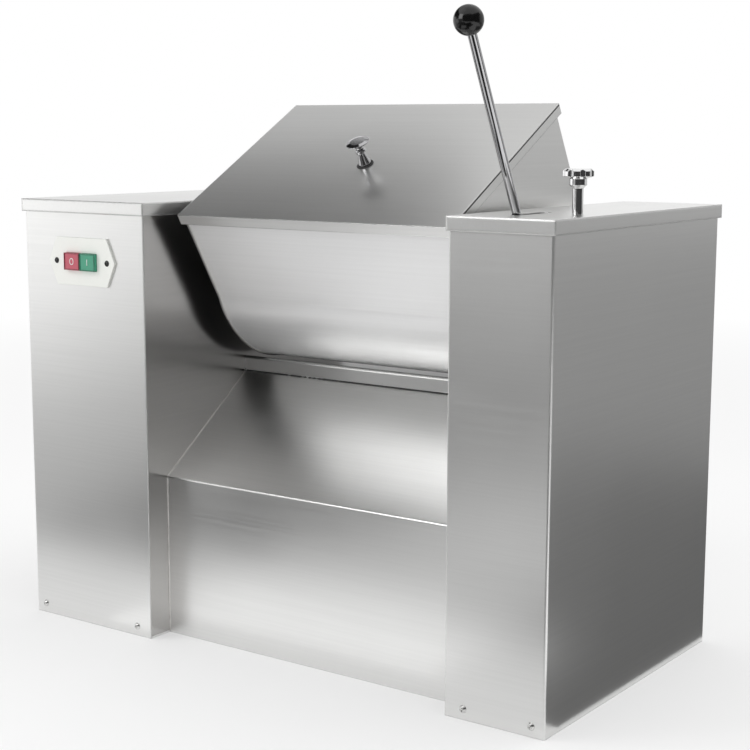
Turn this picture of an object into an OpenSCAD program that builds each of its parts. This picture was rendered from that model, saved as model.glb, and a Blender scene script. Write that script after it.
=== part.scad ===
// Trough powder mixer: two sheet-metal cabinets carry a tilting trough between them.
// Millimetres, +Z up. X runs along the mixing shaft and the front faces -Y.
// The origin is the middle of the flat underside.

/* [Cabinets] */
// Width over both cabinets
overall_w = 700; // [660:1:780]
// Depth of the cabinets, front to back
cabinet_d = 365; // [350:1:420]
// Height to the top of the covers
cabinet_h = 495; // [480:1:540]
// Width of the left cabinet, which holds the drive
left_w = 187; // [180:1:200]
// Width of the right cabinet, which holds the tilting gear
right_w = 113; // [108:1:125]
// Thickness of the folded steel sheet
sheet = 1.5; // [1:0.1:2]
// Outer radius of the casing bends
bend_r = 2.5; // [2.2:0.1:3.5]
// Thickness of the inner walls that carry the bearings
wall_t = 4; // [3:0.5:6]
// Clearance between a cover and its casing
cover_gap = 1.1; // [0.5:0.1:1.5]
// Height of the lip round a cover
cover_lip = 14.5; // [10:0.5:20]

/* [Base and chute] */
// Thickness of the base tray
base_t = 3; // [2:0.5:5]
// Height of the upturned flanges of the base tray
base_flange = 25; // [18:1:35]
// How far the chute front stands behind the cabinet fronts
apron_set = 32; // [20:1:45]
// Height of the fold between the chute front and its slope
apron_h = 184; // [150:1:210]
// Horizontal run of the slope
slope_run = 139.5; // [120:1:150]
// Height of the ledge at the top of the slope
ledge_h = 18; // [16:1:22]
// Clearance between the trough and the ledge in front of it
ledge_gap = 2.8; // [2:0.1:4]
// Outer radius of the chute's folds
fold_r = 3; // [2:0.5:4]
// Clearance between the trough and the deck under it
deck_gap = 9.5; // [9:0.5:15]

/* [Trough] */
// Distance of the shaft axis behind the cabinet fronts
axis_back = 207; // [195:1:215]
// Distance of the shaft axis below the top of the covers
axis_drop = 70.5; // [69:0.5:76]
// Outer radius of the trough
trough_r = 117; // [105:1:120]
// Thickness of the trough shell
trough_t = 1.5; // [1.2:0.1:3]
// Height of the crease between the trough's walls and its round, above the shaft axis
crease_h = 20; // [8:1:28]
// Height of the trough rim above the shaft axis
rim_h = 134.3; // [125:0.1:145]
// Outward width of the folded rim
rim_w = 2.2; // [1.5:0.1:2.5]
// Depth of the folded rim
rim_depth = 3; // [2:0.5:5]
// Thickness of the trough end plates
end_t = 2; // [1.5:0.1:4]
// How far the end plates stand proud of the shell
end_proud = 1.5; // [0.5:0.1:2]
// Gap between each end plate and the inner wall
end_gap = 25; // [18:1:30]
// Tilt of the trough as photographed, from upright
tilt = 30; // [25:1:30]

/* [Lid] */
// Thickness of the lid sheet
lid_t = 1.2; // [1:0.1:2]
// Overhang of the lid beyond the trough, front and back
lid_over = 5; // [4:0.1:7]
// Overhang of the lid beyond the trough ends
lid_over_end = 4; // [3.8:0.1:6]
// Height of the lid's lip
lid_lip = 12; // [8:0.5:18]
// Clearance between the lid and the rim that it rests on
lid_seat_gap = 0.2; // [0.1:0.05:0.4]
// Height of the lid knob
knob_h = 29; // [24:1:36]
// Diameter of the lid knob's flared head
knob_d = 26; // [22:1:30]

/* [Mixing paddle] */
// Diameter of the mixing shaft
shaft_d = 25; // [22:0.5:27]
// Radial depth of the ribbons
ribbon_depth = 19; // [14:1:24]
// Thickness of the ribbons
ribbon_t = 5; // [4:0.5:8]
// Turn of each ribbon over its length
ribbon_twist = 180; // [120:10:240]
// Clearance between the ribbons and the trough shell
ribbon_gap = 3.5; // [2:0.5:6]
// Diameter of the paddle arms
arm_bar_d = 14; // [10:1:18]
// Diameter of the arm collars
collar_d = 42; // [36:1:46]

/* [Drive] */
// Module of the gear pair
gear_m = 2.5; // [2.3:0.1:2.5]
// Teeth on the gear of the mixing shaft
gear_teeth = 46; // [40:2:46]
// Teeth on the gearbox pinion
pinion_teeth = 18; // [18:2:22]
// Face width of the gear pair
gear_w = 20; // [14:1:22]
// Play between meshed teeth, at each flank
backlash = 0.12; // [0.08:0.01:0.2]
// Diameter of the gearbox output shaft
out_shaft_d = 20; // [16:1:22]
// Diameter of the motor
motor_d = 100; // [90:1:104]
// Room between the motor's fan cover and the base tray
motor_room = 63.5; // [45:0.5:90]

/* [Lever and latch] */
// Distance of the lever in front of the shaft axis, square to its arm
lever_off = 108; // [104:1:110]
// Lean of the lever from the trough's own upright
lever_lean = 3; // [2:0.5:4]
// Reach of the lever from its arm to the ball's centre
lever_reach = 338; // [300:1:360]
// Diameter of the lever rod
lever_d = 9; // [8:0.5:9.5]
// Diameter of the lever ball
ball_d = 28; // [24:1:32]
// Distance of the latch spindle behind the cabinet fronts
latch_back = 80; // [78:0.5:82]
// Distance of the latch spindle from the machine's right side
latch_in = 20; // [19:0.5:22]
// Height of the latch knob above the cover
latch_knob_h = 44; // [38:1:50]
// Diameter of the latch knob
latch_knob_d = 30; // [26:1:34]

/* [Switch] */
// Length of the switch plate between its points
switch_l = 104; // [96:1:110]
// Height of the switch plate
switch_h = 54; // [48:1:60]
// Distance of the switch below the top of the covers
switch_drop = 69; // [60:1:80]
// Width of each push button
button_w = 23.5; // [20:0.5:26]
// Height of each push button
button_h = 19.5; // [16:0.5:24]
// Travel of each push button
button_travel = 3; // [2:0.5:4]

/* [Hidden] */

// One overrun for every cut, and the clearances that pieces share
cut = 1;
run_fit = 0.05;
push_fit = 0.05;
sheet_gap = 0.4;

// Facets of round pieces, large and small
$fn = 48;
fine_fn = 96;
small_fn = 24;
hex_fn = 6;

// Places worked out from the driving sizes
half_w = overall_w / 2;
half_d = cabinet_d / 2;
casing_h = cabinet_h - sheet;
cover_over = cover_gap + sheet;
left_face = left_w - half_w;
right_face = half_w - right_w;
mid_w = overall_w - left_w - right_w;
mid_x = (left_w - right_w) / 2;
axis_y = axis_back - half_d;
axis_z = cabinet_h - axis_drop;
trough_l = mid_w - 2 * end_gap;
inner_r = trough_r - trough_t;
deck_z = axis_z - trough_r - deck_gap;
apron_y = apron_set - half_d;
ledge_y = apron_y + slope_run;
ledge_hem_w = 2 * fold_r + sheet;
ledge_back = axis_y - ledge_y + sheet - ledge_hem_w;
ledge_r = trough_r + end_proud + ledge_gap;
ledge_z = axis_z - sqrt(ledge_r ^ 2 - ledge_back ^ 2);
slope_z = ledge_z - ledge_h;

// Pan-head screws of the sheet panels
screw_head_d = 8.4;
screw_head_h = 2.6;
screw_d = 4.6;
screw_hole_d = 5;
screw_z = 11;
screw_from_side = 15;
screw_from_wall = 21;
recess_w = 1;
recess_l = 4.6;
recess_h = 1.4;

// Vent slots in the back of the left casing
vent_count = 9;
vent_l = 90;
vent_h = 4;
vent_pitch = 11;
vent_z = 90;

// Trunnions, with their bushes, seals and bearing housings
trunnion_d = 60;
trunnion_flange_d = 104;
trunnion_flange_t = 6;
wall_play = 2;
wall_hole_d = trunnion_d + 2 * wall_play;
bush_od = 35;
bush_l = 40;
seal_od = 44;
seal_t = 8;
web_t = 5;
web_play = 2.5;
web_hole_d = shaft_d + 2 * web_play;
housing_flange_d = 124;
housing_flange_t = 10;
housing_hub_d = 84;
housing_l = 30;
housing_bolt_d = 10;
housing_bolt_pcd = 104;
housing_bolts = 4;
housing_bolt_w = 16;
bolt_head_h = 6.5;
hole_play = 1;

// Stations along the shaft, measured from the middle of the trough
plate_out = trough_l / 2;
wall_in = mid_w / 2;
wall_out = wall_in + wall_t;
housing_out = wall_out + housing_l;
arm_gap = 2;
arm_t = 16;
arm_x = housing_out + arm_gap + arm_t / 2;
collar_t = 6;
collar_outer_d = 78;
trunnion_end = housing_out + arm_gap + arm_t + collar_t;
web_x = plate_out + seal_t;
bush_x = web_x + web_t;
shaft_right = bush_x + bush_l;
gear_gap = 9;
gear_x = housing_out + gear_gap + gear_w / 2;
shaft_left = gear_x + gear_w / 2;

// Tilting arm and its lever socket
arm_hub_d = 90;
socket_d = 26;
socket_below = 14;
socket_above = 42;
arm_root_w = 64;
lever_nut_w = 16;
lever_nut_h = 6;
key_w = 8;
key_h = 7;
key_l = 14;
ball_flat = 2;
lever_turn = tilt - lever_lean;

// Slot in the right cover, from the lever's places at both ends of the tilt
slot_side_gap = 3;
slot_end_gap = 2;
slot_w = lever_d + 2 * slot_side_gap;

// Latch that swings behind or before the lever
latch_t = 6;
latch_drop = 9;
latch_hub_d = 24;
latch_play = 2;
spindle_d = 8;
latch_nut_w = 13;
latch_nut_h = 6;
latch_bush_d = 16;
latch_bush_h = 6;
knob_gap = 0.3;
knob_sleeve_d = 10.5;
knob_hub_d = 17;
knob_head_h = 9.5;
knob_hub_h = 9;
knob_lobes = 8;
lobe_cut_d = 8;
lobe_in = 1.5;

// Gear pair, gearbox and motor
pressure_angle = 20;
flank_steps = 4;
root_share = 1.25;
gear_hub_d = 44;
gear_hub_l = 6;
gear_hole_d = 15;
gear_holes = 6;
gear_r = gear_m * gear_teeth / 2;
pinion_r = gear_m * pinion_teeth / 2;
shaft_gap = gear_r + pinion_r;
retainer_d = 38;
retainer_t = 3;
retainer_bolt_w = 13;
retainer_bolt_h = 5;
out_z = axis_z - shaft_gap;
mount_plate_t = 8;
mount_plate_gap = 7;
mount_plate_x = shaft_left + mount_plate_gap;
mount_plate_front = 85;
mount_plate_back = 120;
mount_plate_top = 42;
mount_plate_low = 48;
mount_plate_play = 2;
spacer_d = 16;
spacer_in = 14;
spacer_bolt_h = 5;
spacer_bolt_w = 13;
box_bolt_d = 8;
box_bolt_deep = 12;
box_w = 88;
box_front = 56;
box_back = 95;
box_half_h = 50;
box_corner_r = 14;
box_bolt_reach = box_half_h - box_corner_r;
box_boss_d = 74;
box_boss_h = 3;
box_cap_d = 40;
worm_off = 48;
motor_flange_d = 104;
motor_flange_t = 10;
fin_count = 24;
fin_h = 6;
fin_t = 2.5;
fin_end = 8;
fan_cover_l = 38;
fan_cover_t = 2;
fan_slots = 12;
fan_slot_in = 14;
fan_slot_l = 30;
terminal_l = 76;
terminal_w = 60;
terminal_h = 30;
terminal_lid_t = 3;
box_x = mount_plate_x + mount_plate_t;
drive_x = box_x + box_boss_h + box_w / 2;
motor_y = axis_y + worm_off;
motor_top = out_z - box_half_h - motor_flange_t;
motor_l = motor_top - base_t - motor_room - fan_cover_l;

// Cord gland at the back of the left casing
gland_bore_d = 10;
gland_thread_d = 20;
gland_hex_w = 24;
gland_hex_t = 6;
gland_dome_d = 21;
gland_dome_l = 15;
gland_dome_end_d = 16;
gland_inside = 12;
gland_nut_t = 6;
gland_in = 45;
gland_z = 40;

// Switch
switch_t = 2.5;
switch_point = 12.5;
switch_screw_pitch = 80;
switch_screw_d = 7;
switch_screw_h = 1.8;
switch_screw_hole_d = 3.4;
switch_box_l = 60;
switch_box_h = 38;
switch_box_d = 46;
button_gap = 0.25;
button_out = 4.5;
button_split = 1.2;
button_depth = 20;
button_rib_h = 0.8;
switch_x = left_face - left_w / 2;
switch_z = cabinet_h - switch_drop;

// Lid
lid_z = rim_h + lid_seat_gap;
lid_top = lid_z + lid_t;
knob_neck_d = 8;
knob_foot_d = 14;
knob_foot_h = 2.5;
knob_bead_d = 12;
knob_bead_h = 6;
knob_flare_h = 9;
flare_rise_share = 0.75;
bevel_share = 0.25;
hub_cone_share = 0.33;
knob_flat_share = 0.33;
knob_x = 6;
knob_y = -9;
knob_nut_w = 10;
knob_nut_h = 4;
knob_stud_d = 5;

// Paddle
ribbon_out = inner_r - ribbon_gap;
ribbon_in = ribbon_out - ribbon_depth;
ribbon_end_gap = 4;
ribbon_l = trough_l - 2 * end_t - 2 * ribbon_end_gap;
ribbon_steps = 36;
arm_gap_to_ribbon = 0.4;
arm_station = (ribbon_l - arm_bar_d) / 2;
collar_l = 18;
paddle_phase = 20;

steel = [0.80, 0.80, 0.79];
polished = [0.88, 0.88, 0.88];
cast = [0.45, 0.50, 0.53];
dark = [0.12, 0.12, 0.13];
bronze = [0.72, 0.53, 0.30];
white = [0.93, 0.93, 0.90];
red = [0.70, 0.13, 0.12];
green = [0.07, 0.45, 0.28];

// Geometry helpers

function unit(v) = v / norm(v);
function left_of(v) = [-v[1], v[0]];
function edge_normal(p, i) = left_of(unit(p[i + 1] - p[i]));

// A point of a path moved sideways, mitred at the corners
function mitre(p, i, t) =
    i == 0 ? p[0] + t * edge_normal(p, 0)
    : i == len(p) - 1 ? p[i] + t * edge_normal(p, i - 1)
    : p[i] + t * (edge_normal(p, i - 1) + edge_normal(p, i))
        / (1 + edge_normal(p, i - 1) * edge_normal(p, i));

// A path with each inner corner rounded to radius r
function corner_arc(a, b, c, r, n) =
    let (
        u = unit(a - b),
        v = unit(c - b),
        half = acos(u * v) / 2,
        centre = b + unit(u + v) * r / sin(half),
        start = b + u * r / tan(half),
        finish = b + v * r / tan(half),
        a0 = atan2(start[1] - centre[1], start[0] - centre[0]),
        a1 = atan2(finish[1] - centre[1], finish[0] - centre[0]),
        turn = a1 - a0 > 180 ? a1 - a0 - 360 : a1 - a0 < -180 ? a1 - a0 + 360 : a1 - a0
    )
    [for (k = [0:n]) centre + r * [cos(a0 + turn * k / n), sin(a0 + turn * k / n)]];

function rounded_path(p, r, n) = concat(
    [p[0]],
    [for (i = [1:len(p) - 2]) each corner_arc(p[i - 1], p[i], p[i + 1], r, n)],
    [p[len(p) - 1]]
);

// Extrudes an outline of the YZ plane along X, centred on x = 0
module along_x(len) {
    rotate([90, 0, 90])
        linear_extrude(height = len, center = true)
            children();
}

// A sheet folded along a YZ path, its thickness to the right of the path
module folded_sheet(path, t, len) {
    other = [for (i = [len(path) - 1:-1:0]) mitre(path, i, -t)];
    along_x(len)
        polygon(concat(path, other));
}

// Moves to the shaft axis at the middle of the trough
module at_axis() {
    translate([mid_x, axis_y, axis_z])
        children();
}

// Moves to the shaft axis and tilts with the trough
module tilted() {
    at_axis()
        rotate([tilt, 0, 0])
            children();
}

// A tube along X from station a to station b, on either side of the trough
module tube_x(a, b, outer_d, bore_d, side) {
    translate([side * (a + b) / 2, 0, 0])
        along_x(b - a)
            difference() {
                circle(d = outer_d);
                if (bore_d > 0)
                    circle(d = bore_d);
            }
}

// A domed screw head with a cross recess, its seat at z = 0
module pan_head(d, h) {
    dome_r = (d * d / 4 + h * h) / (2 * h);
    difference() {
        intersection() {
            translate([0, 0, h - dome_r])
                sphere(r = dome_r, $fn = fine_fn);
            cylinder(d = d, h = h, $fn = small_fn);
        }
        for (turn = [0, 90])
            rotate([0, 0, turn])
                translate([-recess_l / 2, -recess_w / 2, h - recess_h])
                    cube([recess_l, recess_w, recess_h + cut]);
    }
}

module hex_prism(flats, h) {
    cylinder(d = flats / cos(180 / hex_fn), h = h, $fn = hex_fn);
}

// Outline of a box with its two outer corners rounded, from x = 0 to w
module casing_outline(w, d, r) {
    translate([r, -d / 2])
        square([w - r, d]);
    translate([0, r - d / 2])
        square([w, d - 2 * r]);
    for (s = [-1, 1])
        translate([r, s * (d / 2 - r)])
            circle(r = r, $fn = small_fn);
}

// Places of the sheet screws: x, and which of the faces they enter
screw_places_x = [
    screw_from_side - half_w,
    left_face - screw_from_wall,
    right_face + screw_from_wall,
    half_w - screw_from_side,
];

// Cabinets

// A bent sheet of front, side and back, open towards the trough
module casing(w) {
    difference() {
        linear_extrude(height = casing_h)
            difference() {
                casing_outline(w, cabinet_d, bend_r);
                translate([sheet, 0])
                    casing_outline(w, cabinet_d - 2 * sheet, bend_r - sheet);
            }
        for (place = [screw_from_side, w - screw_from_wall])
            translate([place, -half_d - cut, screw_z])
                rotate([-90, 0, 0])
                    cylinder(d = screw_hole_d, h = cabinet_d + 2 * cut, $fn = small_fn);
    }
}

module left_casing() {
    color(steel)
        difference() {
            translate([-half_w, 0, 0])
                casing(left_w);
            translate([switch_x, 0, switch_z])
                switch_cutout();
            for (i = [0:vent_count - 1])
                translate([switch_x - vent_l / 2, half_d - sheet - cut, vent_z + i * vent_pitch])
                    cube([vent_l, sheet + 2 * cut, vent_h]);
            translate([gland_in - half_w, half_d - sheet - cut, gland_z])
                rotate([-90, 0, 0])
                    cylinder(d = gland_thread_d + hole_play, h = sheet + 2 * cut);
        }
}

module right_casing() {
    color(steel)
        translate([half_w, 0, 0])
            mirror([1, 0, 0])
                casing(right_w);
}

// A plate across the cabinet with the hole for a trunnion and its bearing bolts
module inner_wall(side) {
    at_axis()
        translate([side * (wall_in + wall_t / 2), 0, 0])
            along_x(wall_t)
                difference() {
                    translate([sheet - half_d - axis_y, base_t - axis_z])
                        square([cabinet_d - 2 * sheet, casing_h - base_t]);
                    circle(d = wall_hole_d);
                    housing_bolt_places()
                        circle(d = housing_bolt_d + hole_play, $fn = small_fn);
                }
}

module left_inner_wall() {
    color(steel)
        inner_wall(-1);
}

module right_inner_wall() {
    color(steel)
        inner_wall(1);
}

// A folded pan that drops over the top of a casing
module cover(w) {
    difference() {
        translate([-cover_over, -half_d - cover_over, casing_h - cover_lip + sheet])
            cube([w + 2 * cover_over, cabinet_d + 2 * cover_over, cover_lip]);
        translate([-cover_gap, -half_d - cover_gap, casing_h - cover_lip + sheet - cut])
            cube([w + 2 * cover_gap, cabinet_d + 2 * cover_gap, cover_lip - sheet + cut]);
    }
}

module left_cover() {
    color(steel)
        translate([-half_w, 0, 0])
            cover(left_w);
}

// Place of the lever's centre line before the axis, at a tilt and a height over the axis
function lever_y(turn, up) =
    -lever_off * cos(turn) - tan(turn - lever_lean) * (up + lever_off * sin(turn));

slot_front = lever_y(tilt, axis_drop) - lever_d / 2 / cos(lever_turn) - slot_end_gap;
slot_back = lever_y(0, axis_drop - sheet) + lever_d / 2 + slot_end_gap;
latch_x = half_w - latch_in;
latch_y = latch_back - half_d;

module right_cover() {
    color(steel)
        difference() {
            translate([right_face, 0, 0])
                cover(right_w);
            translate([mid_x + arm_x - slot_w / 2, axis_y + slot_front + slot_w / 2, casing_h - cut])
                cube([slot_w, slot_back - slot_front - slot_w, sheet + 2 * cut]);
            for (end = [slot_front + slot_w / 2, slot_back - slot_w / 2])
                translate([mid_x + arm_x, axis_y + end, casing_h - cut])
                    cylinder(d = slot_w, h = sheet + 2 * cut);
            translate([latch_x, latch_y, casing_h - cut])
                cylinder(d = spindle_d + hole_play, h = sheet + 2 * cut, $fn = small_fn);
        }
}

// Base and chute

// One bay of the tray: a plate with upturned front and back flanges
module tray_bay(x0, x1, y0, y1, flange_x0, flange_x1) {
    translate([x0, y0, 0])
        cube([x1 - x0, y1 - y0, base_t]);
    for (y = [y0, y1 - base_t])
        translate([flange_x0, y, 0])
            cube([flange_x1 - flange_x0, base_t, base_flange]);
}

tray_front = sheet + sheet_gap - half_d;
tray_back = half_d - sheet - sheet_gap;
tray_side = half_w - sheet - sheet_gap;

module base_tray() {
    color(steel)
        difference() {
            union() {
                tray_bay(-tray_side, left_face, tray_front, tray_back,
                    -tray_side, left_face - wall_t - sheet_gap);
                tray_bay(left_face, right_face, apron_y + sheet + sheet_gap, tray_back,
                    left_face + sheet_gap, right_face - sheet_gap);
                tray_bay(right_face, tray_side, tray_front, tray_back,
                    right_face + wall_t + sheet_gap, tray_side);
            }
            for (x = screw_places_x)
                translate([x, -half_d, screw_z])
                    rotate([-90, 0, 0])
                        cylinder(d = screw_hole_d, h = cabinet_d, $fn = small_fn);
        }
}

// Front, slope and hidden top flange of the chute, folded from one sheet
module front_apron() {
    path = rounded_path(
        [
            [apron_y, 0],
            [apron_y, apron_h],
            [ledge_y, slope_z],
            [ledge_y, ledge_z - 2 * fold_r],
        ],
        fold_r, 5);
    color(steel)
        translate([mid_x, 0, 0])
            folded_sheet(path, sheet, mid_w);
}

// Deck under the trough, hemmed over the chute's flange in front and flanged behind
module deck_panel() {
    path = rounded_path(
        [
            [ledge_y - sheet, slope_z + fold_r],
            [ledge_y - sheet, ledge_z],
            [ledge_y - sheet + ledge_hem_w, ledge_z],
            [ledge_y - sheet + ledge_hem_w, deck_z],
            [half_d - sheet, deck_z],
            [half_d - sheet, deck_z - ledge_h],
        ],
        fold_r, 4);
    color(steel)
        translate([mid_x, 0, 0])
            folded_sheet(path, sheet, mid_w);
}

module rear_panel() {
    color(steel)
        translate([left_face, half_d - sheet, 0])
            cube([mid_w, sheet, deck_z]);
}

module casing_screws() {
    color(polished)
        for (x = screw_places_x, side = [-1, 1])
            translate([x, side * half_d, screw_z])
                rotate([-side * 90, 0, 0]) {
                    pan_head(screw_head_d, screw_head_h);
                    translate([0, 0, -sheet - sheet_gap - base_t])
                        cylinder(d = screw_d, h = sheet + sheet_gap + base_t, $fn = small_fn);
                }
}

// Trunnion bearings

module housing_bolt_places() {
    for (i = [0:housing_bolts - 1])
        rotate(i * 360 / housing_bolts + 180 / housing_bolts)
            translate([housing_bolt_pcd / 2, 0])
                children();
}

module bearing_housing(side) {
    at_axis() {
        translate([side * (wall_out + housing_flange_t / 2), 0, 0])
            along_x(housing_flange_t)
                difference() {
                    circle(d = housing_flange_d, $fn = fine_fn);
                    circle(d = trunnion_d + 2 * run_fit, $fn = fine_fn);
                    housing_bolt_places()
                        circle(d = housing_bolt_d + hole_play, $fn = small_fn);
                }
        tube_x(wall_out + housing_flange_t, housing_out, housing_hub_d,
            trunnion_d + 2 * run_fit, side, $fn = fine_fn);
    }
}

module left_bearing_housing() {
    color(cast)
        bearing_housing(-1);
}

module right_bearing_housing() {
    color(cast)
        bearing_housing(1);
}

module bearing_bolts() {
    color(polished)
        at_axis()
            for (side = [-1, 1])
                translate([side * wall_in, 0, 0])
                    rotate([90, 0, side * 90])
                        housing_bolt_places() {
                            cylinder(d = housing_bolt_d, h = wall_t + housing_flange_t, $fn = small_fn);
                            translate([0, 0, wall_t + housing_flange_t])
                                hex_prism(housing_bolt_w, bolt_head_h);
                        }
}

// Drive

// An involute flank point at radius r, as an angle from the tooth's centre line
function involute(a) = tan(a) * 180 / PI - a;
function tooth_half(r, pitch_r, teeth, thin) =
    let (
        base_r = pitch_r * cos(pressure_angle),
        at = r > base_r ? acos(base_r / r) : 0
    )
    90 / teeth - thin / pitch_r * 180 / PI + involute(pressure_angle) - involute(at);

// Outline of a spur gear with one tooth's centre on the x axis
module gear_outline(teeth) {
    pitch_r = gear_m * teeth / 2;
    tip_r = pitch_r + gear_m;
    root_r = pitch_r - root_share * gear_m;
    start_r = max(root_r, pitch_r * cos(pressure_angle));
    radii = [for (k = [0:flank_steps]) start_r + (tip_r - start_r) * k / flank_steps];
    points = [
        for (i = [0:teeth - 1]) each concat(
            [root_r * turned(i * 360 / teeth - tooth_half(start_r, pitch_r, teeth, backlash))],
            [for (r = radii) r * turned(i * 360 / teeth - tooth_half(r, pitch_r, teeth, backlash))],
            [for (k = [0:flank_steps])
                let (r = radii[flank_steps - k])
                r * turned(i * 360 / teeth + tooth_half(r, pitch_r, teeth, backlash))],
            [root_r * turned(i * 360 / teeth + tooth_half(start_r, pitch_r, teeth, backlash))]
        )
    ];
    polygon(points);
}

function turned(a) = [cos(a), sin(a)];

module drive_gear() {
    color(cast)
        at_axis()
            translate([-gear_x, 0, 0]) {
                along_x(gear_w)
                    difference() {
                        rotate(-90)
                            gear_outline(gear_teeth);
                        circle(d = shaft_d + 2 * push_fit);
                        translate([-key_w / 2 - push_fit, 0])
                            square([key_w + 2 * push_fit, shaft_d / 2 + key_h / 2 + push_fit]);
                        for (i = [0:gear_holes - 1])
                            rotate(i * 360 / gear_holes)
                                translate([(gear_r + gear_hub_d / 2 - gear_m) / 2, 0])
                                    circle(d = gear_hole_d);
                    }
                tube_x(gear_w / 2, gear_w / 2 + gear_hub_l, gear_hub_d, shaft_d + 2 * push_fit, 1);
            }
}

module gear_key() {
    color(steel)
        at_axis()
            translate([-gear_x - gear_w / 2, -key_w / 2, shaft_d / 2 - key_h / 2])
                cube([gear_w, key_w, key_h]);
}

module gear_retainer() {
    color(polished)
        at_axis()
            translate([-shaft_left, 0, 0])
                rotate([0, -90, 0]) {
                    cylinder(d = retainer_d, h = retainer_t);
                    translate([0, 0, retainer_t])
                        hex_prism(retainer_bolt_w, retainer_bolt_h);
                }
}

module pinion() {
    color(cast)
        translate([mid_x - gear_x, axis_y, out_z])
            along_x(gear_w)
                difference() {
                    rotate(90 + 180 / pinion_teeth)
                        gear_outline(pinion_teeth);
                    circle(d = out_shaft_d + 2 * push_fit);
                }
}

// The gearbox output shaft, with a shoulder behind the pinion and a clip before it
module output_shaft() {
    end_x = gear_x - gear_w / 2 - retainer_t;
    color(polished)
        translate([mid_x, axis_y, out_z]) {
            tube_x(end_x, box_x + box_boss_h + box_w, out_shaft_d, 0, -1);
            tube_x(end_x, end_x + retainer_t - push_fit, out_shaft_d + 2 * retainer_t, 0, -1);
            tube_x(gear_x + gear_w / 2 + push_fit, mount_plate_x, out_shaft_d + retainer_t, 0, -1);
        }
}

module mount_plate_outline() {
    translate([-mount_plate_front, -shaft_gap - mount_plate_low])
        square([mount_plate_front + mount_plate_back, shaft_gap + mount_plate_low + mount_plate_top]);
}

module spacer_places() {
    for (y = [spacer_in - mount_plate_front, mount_plate_back - spacer_in],
        z = [mount_plate_top - spacer_in, spacer_in - shaft_gap - mount_plate_low])
        translate([y, z])
            children();
}

// The plate that carries the gearbox, held off the inner wall by four spacers
module gearbox_plate() {
    color(steel)
        at_axis()
            translate([-mount_plate_x - mount_plate_t / 2, 0, 0])
                along_x(mount_plate_t)
                    difference() {
                        mount_plate_outline();
                        circle(d = retainer_d + 2 * mount_plate_play);
                        translate([0, -shaft_gap])
                            circle(d = out_shaft_d + retainer_t + 2 * mount_plate_play);
                        spacer_places()
                            circle(d = housing_bolt_d + hole_play, $fn = small_fn);
                        for (y = [-1, 1] * box_bolt_reach, z = [-1, 1] * box_bolt_reach)
                            translate([y, z - shaft_gap])
                                circle(d = box_bolt_d + hole_play, $fn = small_fn);
                    }
}

module plate_spacers() {
    color(polished)
        at_axis()
            translate([-wall_out, 0, 0])
                rotate([90, 0, -90])
                    mirror([1, 0, 0])
                        spacer_places() {
                            cylinder(d = spacer_d, h = mount_plate_x - wall_out, $fn = small_fn);
                            translate([0, 0, mount_plate_x - wall_out])
                                cylinder(d = housing_bolt_d, h = mount_plate_t, $fn = small_fn);
                            translate([0, 0, mount_plate_x - wall_out + mount_plate_t])
                                hex_prism(spacer_bolt_w, spacer_bolt_h);
                        }
}

// Outline of the gearbox in YZ about its output shaft, corners rounded
module gearbox_outline() {
    span = box_front + box_back;
    translate([box_corner_r - box_front, -box_half_h])
        square([span - 2 * box_corner_r, 2 * box_half_h]);
    translate([-box_front, box_corner_r - box_half_h])
        square([span, 2 * (box_half_h - box_corner_r)]);
    for (y = [box_corner_r - box_front, box_back - box_corner_r],
        z = [-1, 1] * (box_half_h - box_corner_r))
        translate([y, z])
            circle(r = box_corner_r);
}

module gearbox() {
    color(cast)
        translate([mid_x, axis_y, out_z])
            difference() {
                union() {
                    translate([-drive_x, 0, 0])
                        along_x(box_w)
                            gearbox_outline();
                    tube_x(box_x, box_x + box_boss_h + cut, box_boss_d, 0, -1);
                    translate([-drive_x, worm_off, -box_half_h - motor_flange_t / 2])
                        cylinder(d = motor_flange_d, h = motor_flange_t, center = true);
                    translate([-drive_x, worm_off, box_half_h])
                        cylinder(d = box_cap_d, h = box_boss_h, $fn = small_fn);
                }
                tube_x(box_x - cut, box_x + box_boss_h + box_w + cut, out_shaft_d + 2 * run_fit, 0, -1);
                box_bolt_places()
                    tube_x(box_x, box_x + box_boss_h + box_bolt_deep, box_bolt_d + 2 * push_fit, 0, -1);
            }
}

module box_bolt_places() {
    for (y = [-1, 1] * box_bolt_reach, z = [-1, 1] * box_bolt_reach)
        translate([0, y, z])
            children();
}

// Four bolts through the mounting plate into the gearbox face
module gearbox_bolts() {
    color(polished)
        translate([mid_x, axis_y, out_z])
            box_bolt_places() {
                tube_x(mount_plate_x, box_x + box_boss_h + box_bolt_deep, box_bolt_d, 0, -1);
                translate([-mount_plate_x, 0, 0])
                    rotate([0, 90, 0])
                        hex_prism(spacer_bolt_w, spacer_bolt_h);
            }
}

module motor() {
    color(cast)
        translate([mid_x - drive_x, motor_y, motor_top - motor_l]) {
            cylinder(d = motor_d, h = motor_l);
            for (i = [0:fin_count - 1])
                rotate([0, 0, i * 360 / fin_count])
                    translate([motor_d / 2 - fin_t, -fin_t / 2, fin_end])
                        cube([fin_h + fin_t, fin_t, motor_l - 2 * fin_end]);
        }
}

// A pressed cup over the motor's end, with a grille of slots
module motor_fan_cover() {
    inner_d = motor_d + 2 * push_fit;
    color(dark)
        translate([mid_x - drive_x, motor_y, motor_top - motor_l - fan_cover_l])
            difference() {
                cylinder(d = inner_d + 2 * fan_cover_t, h = fan_cover_l + fin_end - fan_cover_t);
                translate([0, 0, fan_cover_t])
                    cylinder(d = inner_d, h = fan_cover_l + fin_end);
                for (i = [0:fan_slots - 1])
                    rotate([0, 0, i * 360 / fan_slots])
                        translate([fan_slot_in, -fan_cover_t, -cut])
                            cube([fan_slot_l, 2 * fan_cover_t, fan_cover_t + 2 * cut]);
            }
}

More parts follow.
